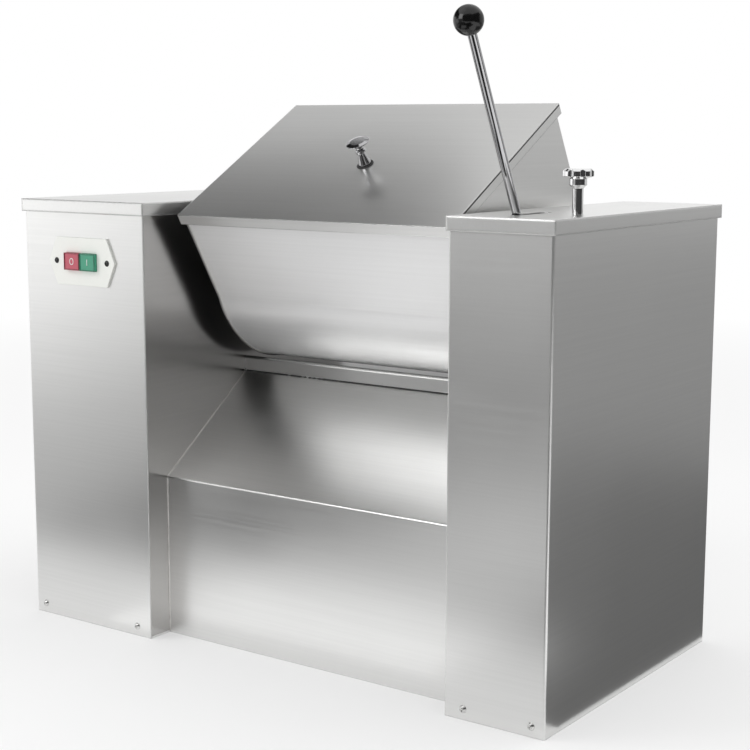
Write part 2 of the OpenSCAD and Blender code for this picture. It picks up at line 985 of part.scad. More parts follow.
// The wiring box on the front side of the motor, with its lid
module motor_terminal_box() {
    color(cast)
        translate([mid_x - drive_x, motor_y - motor_d / 2 - fin_h, motor_top - motor_l / 2]) {
            translate([-terminal_w / 2, -terminal_h, -terminal_l / 2])
                cube([terminal_w, terminal_h, terminal_l]);
            translate([-terminal_w / 2 - terminal_lid_t / 2, -terminal_h - terminal_lid_t,
                -terminal_l / 2 - terminal_lid_t / 2])
                cube([terminal_w + terminal_lid_t, terminal_lid_t, terminal_l + terminal_lid_t]);
        }
}

// Cord gland

module cable_gland() {
    color(dark)
        translate([gland_in - half_w, half_d, gland_z])
            rotate([-90, 0, 0])
                difference() {
                    union() {
                        translate([0, 0, -sheet - gland_inside])
                            cylinder(d = gland_thread_d, h = sheet + gland_inside);
                        hex_prism(gland_hex_w, gland_hex_t);
                        rotate_extrude()
                            polygon([
                                [0, gland_hex_t],
                                [gland_dome_d / 2, gland_hex_t],
                                [gland_dome_d / 2, gland_hex_t + gland_dome_l / 2],
                                [gland_dome_end_d / 2, gland_hex_t + gland_dome_l],
                                [0, gland_hex_t + gland_dome_l],
                            ]);
                    }
                    translate([0, 0, -sheet - gland_inside - cut])
                        cylinder(d = gland_bore_d,
                            h = sheet + gland_inside + gland_hex_t + gland_dome_l + 2 * cut);
                }
}

module gland_nut() {
    color(dark)
        translate([gland_in - half_w, half_d - sheet - gland_nut_t, gland_z])
            rotate([-90, 0, 0])
                difference() {
                    hex_prism(gland_hex_w, gland_nut_t);
                    translate([0, 0, -cut])
                        cylinder(d = gland_thread_d + 2 * push_fit, h = gland_nut_t + 2 * cut);
                }
}

// Switch, built about the middle of its plate on the cabinet's front face

module switch_cutout() {
    translate([-switch_box_l / 2 - sheet_gap, -half_d - cut, -switch_box_h / 2 - sheet_gap])
        cube([switch_box_l + 2 * sheet_gap, sheet + 2 * cut, switch_box_h + 2 * sheet_gap]);
    for (s = [-1, 1])
        translate([s * switch_screw_pitch / 2, -half_d - cut, 0])
            rotate([-90, 0, 0])
                cylinder(d = switch_screw_hole_d, h = sheet + 2 * cut, $fn = small_fn);
}

button_off = (button_w + button_split) / 2;

module button_windows(depth) {
    for (s = [-1, 1])
        translate([s * button_off - button_w / 2 - button_gap, 0, -button_h / 2 - button_gap])
            cube([button_w + 2 * button_gap, depth, button_h + 2 * button_gap]);
}

module switch_plate() {
    color(white)
        translate([switch_x, -half_d - switch_t, switch_z])
            difference() {
                translate([0, switch_t, 0])
                    rotate([90, 0, 0])
                        linear_extrude(height = switch_t)
                            polygon([
                                [-switch_l / 2, 0],
                                [switch_point - switch_l / 2, switch_h / 2],
                                [switch_l / 2 - switch_point, switch_h / 2],
                                [switch_l / 2, 0],
                                [switch_l / 2 - switch_point, -switch_h / 2],
                                [switch_point - switch_l / 2, -switch_h / 2],
                            ]);
                translate([0, -cut, 0])
                    button_windows(switch_t + 2 * cut);
                for (s = [-1, 1])
                    translate([s * switch_screw_pitch / 2, -cut, 0])
                        rotate([-90, 0, 0])
                            cylinder(d = switch_screw_hole_d, h = switch_t + 2 * cut, $fn = small_fn);
            }
}

module switch_body() {
    color(dark)
        translate([switch_x, -half_d, switch_z])
            difference() {
                translate([-switch_box_l / 2, 0, -switch_box_h / 2])
                    cube([switch_box_l, switch_box_d, switch_box_h]);
                translate([0, -cut, 0])
                    button_windows(button_depth + button_travel + button_gap + cut);
            }
}

module switch_screws() {
    color(polished)
        for (s = [-1, 1])
            translate([switch_x + s * switch_screw_pitch / 2, -half_d - switch_t, switch_z])
                rotate([90, 0, 0]) {
                    pan_head(switch_screw_d, switch_screw_h);
                    translate([0, 0, -switch_t - 2 * sheet])
                        cylinder(d = switch_screw_hole_d - 2 * push_fit,
                            h = switch_t + 2 * sheet, $fn = small_fn);
                }
}

// A push button with a raised rim round its face
module push_button(side) {
    out = switch_t + button_out;
    translate([switch_x + side * button_off - button_w / 2, -half_d - out, switch_z - button_h / 2])
        difference() {
            cube([button_w, out + button_depth, button_h]);
            translate([button_rib_h, -cut, button_rib_h])
                cube([button_w - 2 * button_rib_h, button_rib_h + cut, button_h - 2 * button_rib_h]);
        }
}

module stop_button() {
    color(red)
        push_button(-1);
}

module start_button() {
    color(green)
        push_button(1);
}

// Latch: a knob on the right cover swings a plate across the lever's slot

latch_z = casing_h - latch_drop - latch_t + sheet;
latch_reach = latch_x - mid_x - arm_x + slot_w / 2;
latch_low = latch_z - axis_z;
latch_near = axis_y + lever_y(tilt, latch_low) + lever_d / 2 / cos(lever_turn) + latch_play;
latch_far = axis_y + lever_y(0, latch_low) - lever_d / 2 - latch_play;

module latch_bush() {
    color(bronze)
        translate([latch_x, latch_y, casing_h - latch_bush_h])
            difference() {
                cylinder(d = latch_bush_d, h = latch_bush_h);
                translate([0, 0, -cut])
                    cylinder(d = spindle_d + 2 * run_fit, h = latch_bush_h + 2 * cut);
            }
}

module latch_spindle() {
    low = latch_z - latch_nut_h - cut;
    color(polished)
        translate([latch_x, latch_y, low])
            cylinder(d = spindle_d, h = cabinet_h + latch_knob_h - knob_head_h - low);
}

// A fluted head on a hub and a sleeve that stands on the cover
module latch_knob() {
    head_z = latch_knob_h - knob_head_h;
    hub_z = head_z - knob_hub_h;
    color(polished)
        translate([latch_x, latch_y, cabinet_h])
            difference() {
                union() {
                    rotate_extrude()
                        polygon([
                            [0, knob_gap],
                            [knob_sleeve_d / 2, knob_gap],
                            [knob_sleeve_d / 2, hub_z],
                            [knob_hub_d / 2, hub_z + knob_hub_h * hub_cone_share],
                            [knob_hub_d / 2, head_z],
                            [0, head_z],
                        ]);
                    translate([0, 0, head_z])
                        difference() {
                            rotate_extrude()
                                polygon([
                                    [0, 0],
                                    [knob_hub_d / 2, 0],
                                    [latch_knob_d / 2, knob_head_h * bevel_share],
                                    [latch_knob_d / 2, knob_head_h * (1 - bevel_share)],
                                    [latch_knob_d / 2 - knob_head_h * bevel_share, knob_head_h],
                                    [0, knob_head_h],
                                ]);
                            for (i = [0:knob_lobes - 1])
                                rotate([0, 0, i * 360 / knob_lobes])
                                    translate([latch_knob_d / 2 + lobe_cut_d / 2 - lobe_in, 0, -cut])
                                        cylinder(d = lobe_cut_d, h = knob_head_h + 2 * cut, $fn = small_fn);
                        }
                }
                translate([0, 0, -cut])
                    cylinder(d = spindle_d + 2 * push_fit, h = head_z + cut);
            }
}

// At rest the latch points to the back, clear of the slot
module latch_plate() {
    front_side = latch_y - latch_near;
    back_side = latch_far - latch_y;
    color(steel)
        translate([latch_x, latch_y, latch_z])
            rotate([0, 0, -90])
                difference() {
                    union() {
                        cylinder(d = latch_hub_d, h = latch_t);
                        translate([-latch_reach, -front_side, 0])
                            cube([latch_reach, front_side + back_side, latch_t]);
                    }
                    translate([0, 0, -cut])
                        cylinder(d = spindle_d + 2 * push_fit, h = latch_t + 2 * cut);
                }
}

module latch_nut() {
    color(polished)
        translate([latch_x, latch_y, latch_z - latch_nut_h])
            difference() {
                hex_prism(latch_nut_w, latch_nut_h);
                translate([0, 0, -cut])
                    cylinder(d = spindle_d + 2 * push_fit, h = latch_nut_h + 2 * cut);
            }
}

// Trough

// Outline of the trough in YZ: a round, and walls that rise from a crease in it
module trough_outline(r, top) {
    crease_y = sqrt(r ^ 2 - crease_h ^ 2);
    foot_y = crease_y - (r - crease_y) * crease_h / (top - crease_h);
    circle(r = r, $fn = fine_fn);
    polygon([[-foot_y, 0], [foot_y, 0], [r, top], [-r, top]]);
}

module trough_shell() {
    color(steel)
        tilted()
            along_x(trough_l - 2 * end_t)
                difference() {
                    trough_outline(trough_r, rim_h);
                    trough_outline(inner_r, rim_h + cut);
                }
}

module trough_end(side) {
    tilted()
        translate([side * (plate_out - end_t / 2), 0, 0])
            along_x(end_t)
                difference() {
                    trough_outline(trough_r + end_proud, rim_h - rim_depth);
                    circle(d = web_hole_d);
                }
}

module trough_left_end() {
    color(steel)
        trough_end(-1);
}

module trough_right_end() {
    color(steel)
        trough_end(1);
}

// The folded rim on which the lid rests
module trough_rim() {
    color(steel)
        tilted()
            translate([0, 0, rim_h - rim_depth])
                difference() {
                    translate([-plate_out - rim_w, -trough_r - rim_w, 0])
                        cube([trough_l + 2 * rim_w, 2 * (trough_r + rim_w), rim_depth]);
                    translate([end_t - plate_out, -trough_r, -cut])
                        cube([trough_l - 2 * end_t, 2 * trough_r, rim_depth + 2 * cut]);
                }
}

// A hollow trunnion, flanged to the trough end: seal, web and bush one behind another
module trunnion(side, end) {
    tube_x(plate_out, plate_out + trunnion_flange_t, trunnion_flange_d, seal_od + 2 * push_fit, side);
    tube_x(plate_out + trunnion_flange_t, web_x, trunnion_d, seal_od + 2 * push_fit, side, $fn = fine_fn);
    tube_x(web_x, bush_x, trunnion_d, web_hole_d, side, $fn = fine_fn);
    tube_x(bush_x, end, trunnion_d, bush_od + 2 * push_fit, side, $fn = fine_fn);
}

module left_trunnion() {
    color(polished)
        tilted()
            trunnion(-1, housing_out);
}

module right_trunnion() {
    color(polished)
        tilted()
            difference() {
                trunnion(1, trunnion_end);
                translate([arm_x - key_l / 2, -key_w / 2, trunnion_d / 2 - key_h / 2])
                    cube([key_l, key_w, key_h]);
            }
}

module shaft_bushes() {
    color(bronze)
        tilted()
            for (side = [-1, 1])
                tube_x(bush_x, bush_x + bush_l, bush_od, shaft_d + 2 * run_fit, side);
}

module shaft_seals() {
    color(dark)
        tilted()
            for (side = [-1, 1])
                tube_x(plate_out, web_x, seal_od, shaft_d + 2 * run_fit, side);
}

module trunnion_key() {
    color(steel)
        tilted()
            translate([arm_x - key_l / 2, -key_w / 2, trunnion_d / 2 - key_h / 2])
                cube([key_l, key_w, key_h]);
}

// Moves to the lever's foot in its arm, z along the lever
module at_lever() {
    tilted()
        translate([arm_x, -lever_off, 0])
            rotate([-lever_lean, 0, 0])
                children();
}

// Crank on the right trunnion with the socket for the lever
module tilt_arm() {
    color(cast)
        difference() {
            union() {
                tilted()
                    translate([arm_x, 0, 0])
                        along_x(arm_t) {
                            circle(d = arm_hub_d);
                            polygon([
                                [0, arm_root_w / 2],
                                [0, -arm_root_w / 2],
                                [-lever_off, -socket_below],
                                [-lever_off, socket_below],
                            ]);
                        }
                at_lever()
                    translate([0, 0, -socket_below])
                        cylinder(d = socket_d, h = socket_below + socket_above);
            }
            tilted() {
                tube_x(arm_x - arm_t, arm_x + arm_t, trunnion_d + 2 * push_fit, 0, 1, $fn = fine_fn);
                translate([arm_x - arm_t, -key_w / 2 - push_fit, 0])
                    cube([2 * arm_t, key_w + 2 * push_fit, trunnion_d / 2 + key_h / 2 + push_fit]);
            }
            at_lever()
                cylinder(d = lever_d + 2 * push_fit, h = socket_above + cut);
        }
}

module trunnion_collar() {
    color(polished)
        tilted()
            tube_x(trunnion_end - collar_t, trunnion_end, collar_outer_d,
                trunnion_d + 2 * push_fit, 1);
}

module lever_nut() {
    color(polished)
        at_lever()
            translate([0, 0, socket_above])
                difference() {
                    hex_prism(lever_nut_w, lever_nut_h);
                    translate([0, 0, -cut])
                        cylinder(d = lever_d + 2 * push_fit, h = lever_nut_h + 2 * cut);
                }
}

module lever_rod() {
    color(polished)
        at_lever()
            cylinder(d = lever_d, h = lever_reach);
}

module lever_ball() {
    color(dark)
        at_lever()
            difference() {
                translate([0, 0, lever_reach])
                    sphere(d = ball_d);
                translate([0, 0, lever_reach - ball_d])
                    cylinder(d = lever_d + 2 * push_fit, h = ball_d);
                translate([-ball_d, -ball_d, lever_reach - ball_d / 2 - ball_d + ball_flat])
                    cube([2 * ball_d, 2 * ball_d, ball_d]);
            }
}

// Lid

module lid_panel() {
    half_x = plate_out + lid_over_end;
    half_y = trough_r + lid_over;
    color(steel)
        tilted()
            difference() {
                translate([-half_x, -half_y, lid_top - lid_lip])
                    cube([2 * half_x, 2 * half_y, lid_lip]);
                translate([lid_t - half_x, lid_t - half_y, lid_top - lid_lip - cut])
                    cube([2 * (half_x - lid_t), 2 * (half_y - lid_t), lid_lip - lid_t + cut]);
                translate([knob_x, knob_y, lid_z - cut])
                    cylinder(d = knob_stud_d + hole_play, h = lid_t + 2 * cut, $fn = small_fn);
            }
}

// A turned knob: foot, neck with a bead, and a flared head
module lid_knob() {
    flare_z = knob_h - knob_flare_h;
    color(polished)
        tilted()
            translate([knob_x, knob_y, lid_top]) {
                rotate_extrude()
                    polygon(concat(
                        [[0, 0], [knob_foot_d / 2, 0], [knob_foot_d / 2, knob_foot_h]],
                        [for (a = [0:30:180])
                            [knob_neck_d / 2 + (knob_bead_d - knob_neck_d) / 2 * sin(a),
                                flare_z - knob_bead_h + knob_bead_h * (1 - cos(a)) / 2]],
                        [for (a = [15:15:90])
                            [knob_neck_d / 2 + (knob_d - knob_neck_d) / 2 * (1 - cos(a)),
                                flare_z + knob_flare_h * flare_rise_share * sin(a)]],
                        [
                            [knob_d / 2, knob_h - knob_foot_h / 2],
                            [knob_d * knob_flat_share, knob_h],
                            [0, knob_h],
                        ]
                    ));
                translate([0, 0, -lid_t - knob_nut_h - cut])
                    cylinder(d = knob_stud_d, h = lid_t + knob_nut_h + cut, $fn = small_fn);
            }
}

module lid_knob_nut() {
    color(polished)
        tilted()
            translate([knob_x, knob_y, lid_z - knob_nut_h])
                difference() {
                    hex_prism(knob_nut_w, knob_nut_h);
                    translate([0, 0, -cut])
                        cylinder(d = knob_stud_d + 2 * push_fit, h = knob_nut_h + 2 * cut, $fn = small_fn);
                }
}

// Mixing paddle

module mixer_shaft() {
    color(polished)
        at_axis()
            difference() {
                translate([(shaft_right - shaft_left) / 2, 0, 0])
                    along_x(shaft_right + shaft_left)
                        circle(d = shaft_d);
                translate([-gear_x - gear_w / 2 - cut, -key_w / 2 - push_fit, shaft_d / 2 - key_h / 2])
                    cube([gear_w + cut, key_w + 2 * push_fit, key_h]);
            }
}

// How far the ribbons have turned at a station along the shaft
function ribbon_turn(x) = paddle_phase + ribbon_twist * (x / ribbon_l);

// Collars with a bar to each side, which hold the ribbons
module paddle_arms() {
    bar_end = ribbon_in - arm_gap_to_ribbon;
    color(steel)
        at_axis()
            for (x = [-arm_station, 0, arm_station])
                translate([x, 0, 0])
                    rotate([ribbon_turn(x), 0, 0])
                        difference() {
                            union() {
                                along_x(collar_l)
                                    circle(d = collar_d);
                                rotate([90, 0, 0])
                                    cylinder(d = arm_bar_d, h = 2 * bar_end, center = true);
                            }
                            along_x(collar_l + 2 * cut)
                                circle(d = shaft_d + 2 * push_fit);
                        }
}

// A corner of the ribbon's section at a station: radius r, and t across it
function ribbon_point(x, r, t) =
    let (a = ribbon_turn(x))
    [x, r * cos(a) - t * sin(a), r * sin(a) + t * cos(a)];

// Two S-shaped ribbons, half a turn apart, that sweep close to the trough
module paddle_ribbons() {
    section = [
        [ribbon_in, -ribbon_t / 2],
        [ribbon_out, -ribbon_t / 2],
        [ribbon_out, ribbon_t / 2],
        [ribbon_in, ribbon_t / 2],
    ];
    corners = len(section);
    points = [
        for (i = [0:ribbon_steps], c = section)
            ribbon_point(ribbon_l * (i / ribbon_steps - 1 / 2), c[0], c[1])
    ];
    last = ribbon_steps * corners;
    faces = concat(
        [[0, 1, 2], [0, 2, 3], [last, last + 2, last + 1], [last, last + 3, last + 2]],
        [for (i = [0:ribbon_steps - 1], k = [0:corners - 1])
            let (a = i * corners + k, b = i * corners + (k + 1) % corners)
            each [[a, a + corners, b + corners], [a, b + corners, b]]]
    );
    color(steel)
        at_axis()
            for (start = [0, 180])
                rotate([start, 0, 0])
                    polyhedron(points = points, faces = faces);
}

base_tray();
left_casing();
left_inner_wall();
left_cover();
right_casing();
right_inner_wall();
right_cover();
front_apron();
deck_panel();
rear_panel();
casing_screws();
left_bearing_housing();
right_bearing_housing();
bearing_bolts();
gearbox_plate();
plate_spacers();
gearbox();
gearbox_bolts();
motor();
motor_fan_cover();
motor_terminal_box();
cable_gland();
gland_nut();
switch_plate();
switch_body();
switch_screws();
stop_button();
start_button();
latch_bush();
latch_spindle();
latch_knob();
latch_plate();
latch_nut();
trough_shell();
trough_left_end();
trough_right_end();
trough_rim();
left_trunnion();
right_trunnion();
shaft_bushes();
shaft_seals();
tilt_arm();
trunnion_key();
trunnion_collar();
lever_nut();
lever_rod();
lever_ball();
lid_panel();
lid_knob();
lid_knob_nut();
mixer_shaft();
paddle_arms();
paddle_ribbons();
drive_gear();
gear_key();
gear_retainer();
output_shaft();
pinion();
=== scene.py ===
"""Dresses the trough powder mixer: finishes, small details, studio and camera.

Lengths are in metres and the frame is the CAD's own: X runs along the mixing
shaft, the front faces -Y and Z is up.
"""
import logging
import math
from dataclasses import dataclass, field
from enum import Enum
from typing import Callable, Dict, List, Optional, Sequence, Tuple, Union

import bmesh
import bpy
from mathutils import Matrix, Vector


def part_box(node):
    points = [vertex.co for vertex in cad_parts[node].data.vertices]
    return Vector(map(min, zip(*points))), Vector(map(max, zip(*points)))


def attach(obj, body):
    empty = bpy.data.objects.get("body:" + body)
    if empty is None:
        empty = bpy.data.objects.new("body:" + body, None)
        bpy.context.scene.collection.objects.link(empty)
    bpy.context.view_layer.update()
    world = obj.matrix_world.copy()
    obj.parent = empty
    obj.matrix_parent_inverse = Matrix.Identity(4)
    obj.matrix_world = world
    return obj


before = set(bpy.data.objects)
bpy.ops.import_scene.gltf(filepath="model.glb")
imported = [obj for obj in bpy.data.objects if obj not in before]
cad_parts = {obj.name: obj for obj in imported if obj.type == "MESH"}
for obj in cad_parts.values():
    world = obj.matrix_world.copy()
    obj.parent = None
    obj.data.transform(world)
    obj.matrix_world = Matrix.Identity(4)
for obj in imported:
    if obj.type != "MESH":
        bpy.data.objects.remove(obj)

log = logging.getLogger("powder_mixer")

Colour = Tuple[float, float, float]
Feed = Union[bpy.types.NodeSocket, float]
MM = 0.001
SHAFT_AXIS = Vector((0.037, 0.0245, 0.4245))
REST_TILT = math.radians(30.0)


class Grain(Enum):
    """Direction of the brushing, as how far the pattern is squeezed along X, Y and Z."""

    ALONG_X = (0.012, 1.0, 1.0)
    ALONG_Y = (1.0, 0.012, 1.0)
    LEVEL = (0.012, 0.012, 1.0)
    NONE = (1.0, 1.0, 1.0)


class NodeBench:
    """Adds and links shader nodes in one tree, placed left to right."""

    column: int = 220

    def __init__(self, tree: bpy.types.NodeTree) -> None:
        """Starts on an empty or cleared tree.

        Args:
            tree: The material's or the group's node tree.
        """
        self.tree = tree
        self.count = 0

    def add(self, kind: str, inputs: Optional[Dict[str, object]] = None,
            **settings: object) -> bpy.types.Node:
        """Adds one node.

        Args:
            kind: The node's type name without its ShaderNode prefix.
            inputs: Values of its input sockets, by name.
            **settings: Values of its own properties.

        Returns:
            The new node.
        """
        prefix = "" if kind.startswith("NodeGroup") else "ShaderNode"
        node = self.tree.nodes.new(prefix + kind)
        node.location = (self.column * self.count, 0)
        self.count += 1
        for name, value in settings.items():
            setattr(node, name, value)
        for name, value in (inputs or {}).items():
            node.inputs[name].default_value = value
        return node

    def link(self, source: bpy.types.NodeSocket, target: bpy.types.NodeSocket) -> None:
        """Joins an output socket to an input socket."""
        self.tree.links.new(source, target)

    def math(self, operation: str, first: Feed, second: Feed, clamp: bool = False) -> bpy.types.NodeSocket:
        """Adds a Math node.

        Args:
            operation: The operation's Blender name.
            first: A socket or a number.
            second: A socket or a number.
            clamp: Whether the result is kept between 0 and 1.

        Returns:
            The node's output socket.
        """
        node = self.add("Math", operation=operation, use_clamp=clamp)
        for place, value in enumerate((first, second)):
            if isinstance(value, bpy.types.NodeSocket):
                self.link(value, node.inputs[place])
            else:
                node.inputs[place].default_value = value
        return node.outputs[0]

    def stretch(self, value: bpy.types.NodeSocket, low: float, high: float,
                to_low: float, to_high: float) -> bpy.types.NodeSocket:
        """Maps a value from one range to another, held at the ends.

        Args:
            value: The socket to map.
            low: Start of the range it comes in.
            high: End of the range it comes in.
            to_low: Start of the range it leaves in.
            to_high: End of the range it leaves in.

        Returns:
            The mapped value's socket.
        """
        node = self.add("MapRange", {"From Min": low, "From Max": high,
                                     "To Min": to_low, "To Max": to_high})
        self.link(value, node.inputs["Value"])
        return node.outputs["Result"]

    def blend(self, share: bpy.types.NodeSocket, first: Colour, second: Colour) -> bpy.types.NodeSocket:
        """Mixes two colours by a share.

        Args:
            share: 0 gives the first colour and 1 the second.
            first: A linear colour.
            second: A linear colour.

        Returns:
            The mixed colour's socket.
        """
        node = self.add("Mix", data_type="RGBA")
        self.link(share, node.inputs["Factor"])
        node.inputs["A"].default_value = (*first, 1.0)
        node.inputs["B"].default_value = (*second, 1.0)
        return node.outputs["Result"]


class EffectGroups:
    """The effects that several materials share, each a node group built once."""

    broad_share: float = 0.16
    cloud_span: Tuple[float, float] = (0.35, 0.7)
    edge_span: Tuple[float, float] = (0.99, 0.8)

    def __init__(self) -> None:
        """Starts with no group built."""
        self.made: Dict[str, bpy.types.NodeTree] = {}

    def _new(self, name: str, inputs: Sequence[Tuple[str, str, object]],
             outputs: Sequence[Tuple[str, str]]) -> Tuple[NodeBench, bpy.types.Node, bpy.types.Node]:
        """Makes an empty group with its sockets.

        Args:
            name: The group's name.
            inputs: Name, socket type and first value of each input.
            outputs: Name and socket type of each output.

        Returns:
            The bench, the group's input node and its output node.
        """
        tree = bpy.data.node_groups.new(name, "ShaderNodeTree")
        for label, kind, value in inputs:
            socket = tree.interface.new_socket(name=label, in_out="INPUT", socket_type=kind)
            socket.default_value = value
        for label, kind in outputs:
            tree.interface.new_socket(name=label, in_out="OUTPUT", socket_type=kind)
        self.made[name] = tree
        bench = NodeBench(tree)
        return bench, bench.add("NodeGroupInput"), bench.add("NodeGroupOutput")

    def brushed_grain(self) -> bpy.types.NodeTree:
        """Fine scratches in one direction.

        Returns:
            A group with the grain's Height and its broader Streaks.
        """
        if "brushed_grain" in self.made:
            return self.made["brushed_grain"]
        bench, given, out = self._new(
            "brushed_grain",
            [("Squeeze", "NodeSocketVector", (1.0, 1.0, 1.0)), ("Scale", "NodeSocketFloat", 900.0)],
            [("Height", "NodeSocketFloat"), ("Streaks", "NodeSocketFloat")])
        place = bench.add("TexCoord")
        squeezed = bench.add("VectorMath", operation="MULTIPLY")
        bench.link(place.outputs["Object"], squeezed.inputs[0])
        bench.link(given.outputs["Squeeze"], squeezed.inputs[1])
        fine = bench.add("TexNoise", {"Detail": 3.0, "Roughness": 0.6})
        bench.link(squeezed.outputs[0], fine.inputs["Vector"])
        bench.link(given.outputs["Scale"], fine.inputs["Scale"])
        broad = bench.add("TexNoise", {"Detail": 2.0, "Roughness": 0.5})
        bench.link(squeezed.outputs[0], broad.inputs["Vector"])
        bench.link(bench.math("MULTIPLY", given.outputs["Scale"], self.broad_share), broad.inputs["Scale"])
        bench.link(fine.outputs["Fac"], out.inputs["Height"])
        bench.link(broad.outputs["Fac"], out.inputs["Streaks"])
        return self.made["brushed_grain"]

    def handled(self) -> bpy.types.NodeTree:
        """Soft marks of wiping and handling.

        Returns:
            A group with a Mask from 0, clean, to 1, marked.
        """
        if "handled" in self.made:
            return self.made["handled"]
        bench, given, out = self._new(
            "handled", [("Scale", "NodeSocketFloat", 7.0)], [("Mask", "NodeSocketFloat")])
        place = bench.add("TexCoord")
        cloud = bench.add("TexNoise", {"Detail": 4.0, "Roughness": 0.55, "Distortion": 0.4})
        bench.link(place.outputs["Object"], cloud.inputs["Vector"])
        bench.link(given.outputs["Scale"], cloud.inputs["Scale"])
        bench.link(bench.stretch(cloud.outputs["Fac"], *self.cloud_span, 0.0, 1.0), out.inputs["Mask"])
        return self.made["handled"]

    def eased_edges(self) -> bpy.types.NodeTree:
        """Edges rounded in the shading, and a mask of where they are.

        Returns:
            A group with the rounded Normal and an edge Mask from 0 to 1.
        """
        if "eased_edges" in self.made:
            return self.made["eased_edges"]
        bench, given, out = self._new(
            "eased_edges", [("Radius", "NodeSocketFloat", 0.0008)],
            [("Normal", "NodeSocketVector"), ("Mask", "NodeSocketFloat")])
        bevel = bench.add("Bevel", samples=6)
        bench.link(given.outputs["Radius"], bevel.inputs["Radius"])
        surface = bench.add("NewGeometry")
        facing = bench.add("VectorMath", operation="DOT_PRODUCT")
        bench.link(bevel.outputs["Normal"], facing.inputs[0])
        bench.link(surface.outputs["Normal"], facing.inputs[1])
        bench.link(bevel.outputs["Normal"], out.inputs["Normal"])
        bench.link(bench.stretch(facing.outputs["Value"], *self.edge_span, 0.0, 1.0), out.inputs["Mask"])
        return self.made["eased_edges"]

    def place(self, bench: NodeBench, tree: bpy.types.NodeTree,
              inputs: Dict[str, object]) -> bpy.types.Node:
        """Puts a group into a material with the material's own values.

        Args:
            bench: The material's bench.
            tree: The group.
            inputs: Its input values by name.

        Returns:
            The group node.
        """
        node = bench.add("Group", node_tree=tree)
        for name, value in inputs.items():
            node.inputs[name].default_value = value
        return node


EFFECTS = EffectGroups()


@dataclass(frozen=True)
class Finish:
    """What every finish has: a name, a colour, a sheen and how far its edges are eased."""

    name: str
    colour: Colour
    roughness: float
    edge: float = 0.6 * MM

    def material(self) -> bpy.types.Material:
        """Builds the material; each kind of finish has its own way."""
        raise NotImplementedError(self.name)

    def _open(self) -> Tuple[bpy.types.Material, NodeBench, bpy.types.Node]:
        """Makes the material with its Principled shader.

        Returns:
            The material, its bench and its shader node.
        """
        material = bpy.data.materials.new(self.name)
        material.use_nodes = True
        bench = NodeBench(material.node_tree)
        return material, bench, material.node_tree.nodes["Principled BSDF"]

    def _relief(self, bench: NodeBench, shader: bpy.types.Node, height: bpy.types.NodeSocket,
                depth: float, strength: float) -> bpy.types.NodeSocket:
        """Bumps the surface over its eased edges.

        Args:
            bench: The material's bench.
            shader: Its Principled shader.
            height: What lifts the surface, from 0 to 1.
            depth: How far it lifts.
            strength: How much of that counts.

        Returns:
            The edge mask's socket.
        """
        edges = EFFECTS.place(bench, EFFECTS.eased_edges(), {"Radius": self.edge})
        bump = bench.add("Bump", {"Strength": strength, "Distance": depth})
        bench.link(height, bump.inputs["Height"])
        bench.link(edges.outputs["Normal"], bump.inputs["Normal"])
        bench.link(bump.outputs["Normal"], shader.inputs["Normal"])
        return edges.outputs["Mask"]


@dataclass(frozen=True)
class BrushedSteel(Finish):
    """Stainless sheet with one direction of brushing, slightly uneven from handling.

    A sheet with painted shade is darkened behind a place along Y: painted shade on the deck's top under the
    trough.
    """

    grain: Grain = Grain.ALONG_X
    scale: float = 2600.0
    depth: float = 0.012 * MM
    bump: float = 0.05
    unevenness: float = 0.015
    marks: float = 0.03
    grime: float = 0.022
    scatter: float = 0.0
    satin: float = 0.0
    painted_shade_behind: bool = False
    painted_shade_front: float = -8.0 * MM
    painted_shade_fade: float = 2.0 * MM
    painted_shade_level: float = 0.10
    streak_span: Tuple[float, float] = (0.3, 0.7)
    grime_span: Tuple[float, float] = (0.35, 0.65)
    handled_scale: float = 7.0
    edge_sheen: float = 0.5

    def _grime_or_painted_shade(self, bench: NodeBench, grain: bpy.types.Node) -> Tuple[bpy.types.NodeSocket, Colour]:
        """Finds where the sheet is darkened, by grime along its streaks or by painted shade behind a place
        along Y, and its colour there.

        Args:
            bench: The material's bench.
            grain: The group node of the brushing.

        Returns:
            A socket from 0, untouched, to 1, darkened, and the darkened colour.
        """
        if not self.painted_shade_behind:
            share = bench.stretch(grain.outputs["Streaks"], *self.grime_span, 0.0, 1.0)
            return share, tuple(c * (1.0 - self.grime) for c in self.colour)
        # painted shade: past a place along Y the colour falls to a small share of itself, for the shade
        # under the trough
        axes = bench.add("SeparateXYZ")
        bench.link(bench.add("TexCoord").outputs["Object"], axes.inputs["Vector"])
        share = bench.stretch(axes.outputs["Y"], self.painted_shade_front,
                              self.painted_shade_front + self.painted_shade_fade, 0.0, 1.0)
        return share, tuple(c * self.painted_shade_level for c in self.colour)

    def material(self) -> bpy.types.Material:
        """Builds the material.

        Returns:
            The new material.
        """
        material, bench, shader = self._open()
        grain = EFFECTS.place(bench, EFFECTS.brushed_grain(),
                              {"Squeeze": self.grain.value, "Scale": self.scale})
        marks = EFFECTS.place(bench, EFFECTS.handled(), {"Scale": self.handled_scale})
        edge = self._relief(bench, shader, grain.outputs["Height"], self.depth, self.bump)
        streaks = bench.stretch(grain.outputs["Streaks"], *self.streak_span,
                                -self.unevenness, self.unevenness)
        handled = bench.math("MULTIPLY", marks.outputs["Mask"], self.marks)
        uneven = bench.math("ADD", streaks, handled)
        eased = bench.math("MULTIPLY", edge, -self.edge_sheen * self.roughness)
        rough = bench.math("ADD", bench.math("ADD", uneven, self.roughness), eased, clamp=True)
        bench.link(rough, shader.inputs["Roughness"])
        metal = bench.stretch(edge, 0.0, 1.0, 1.0 - self.satin, 1.0 - self.scatter - self.satin)
        bench.link(metal, shader.inputs["Metallic"])
        # the darkening is grime along the streaks, or painted shade where a sheet has it
        share, dull = self._grime_or_painted_shade(bench, grain)
        bench.link(bench.blend(share, self.colour, dull), shader.inputs["Base Color"])
        return material


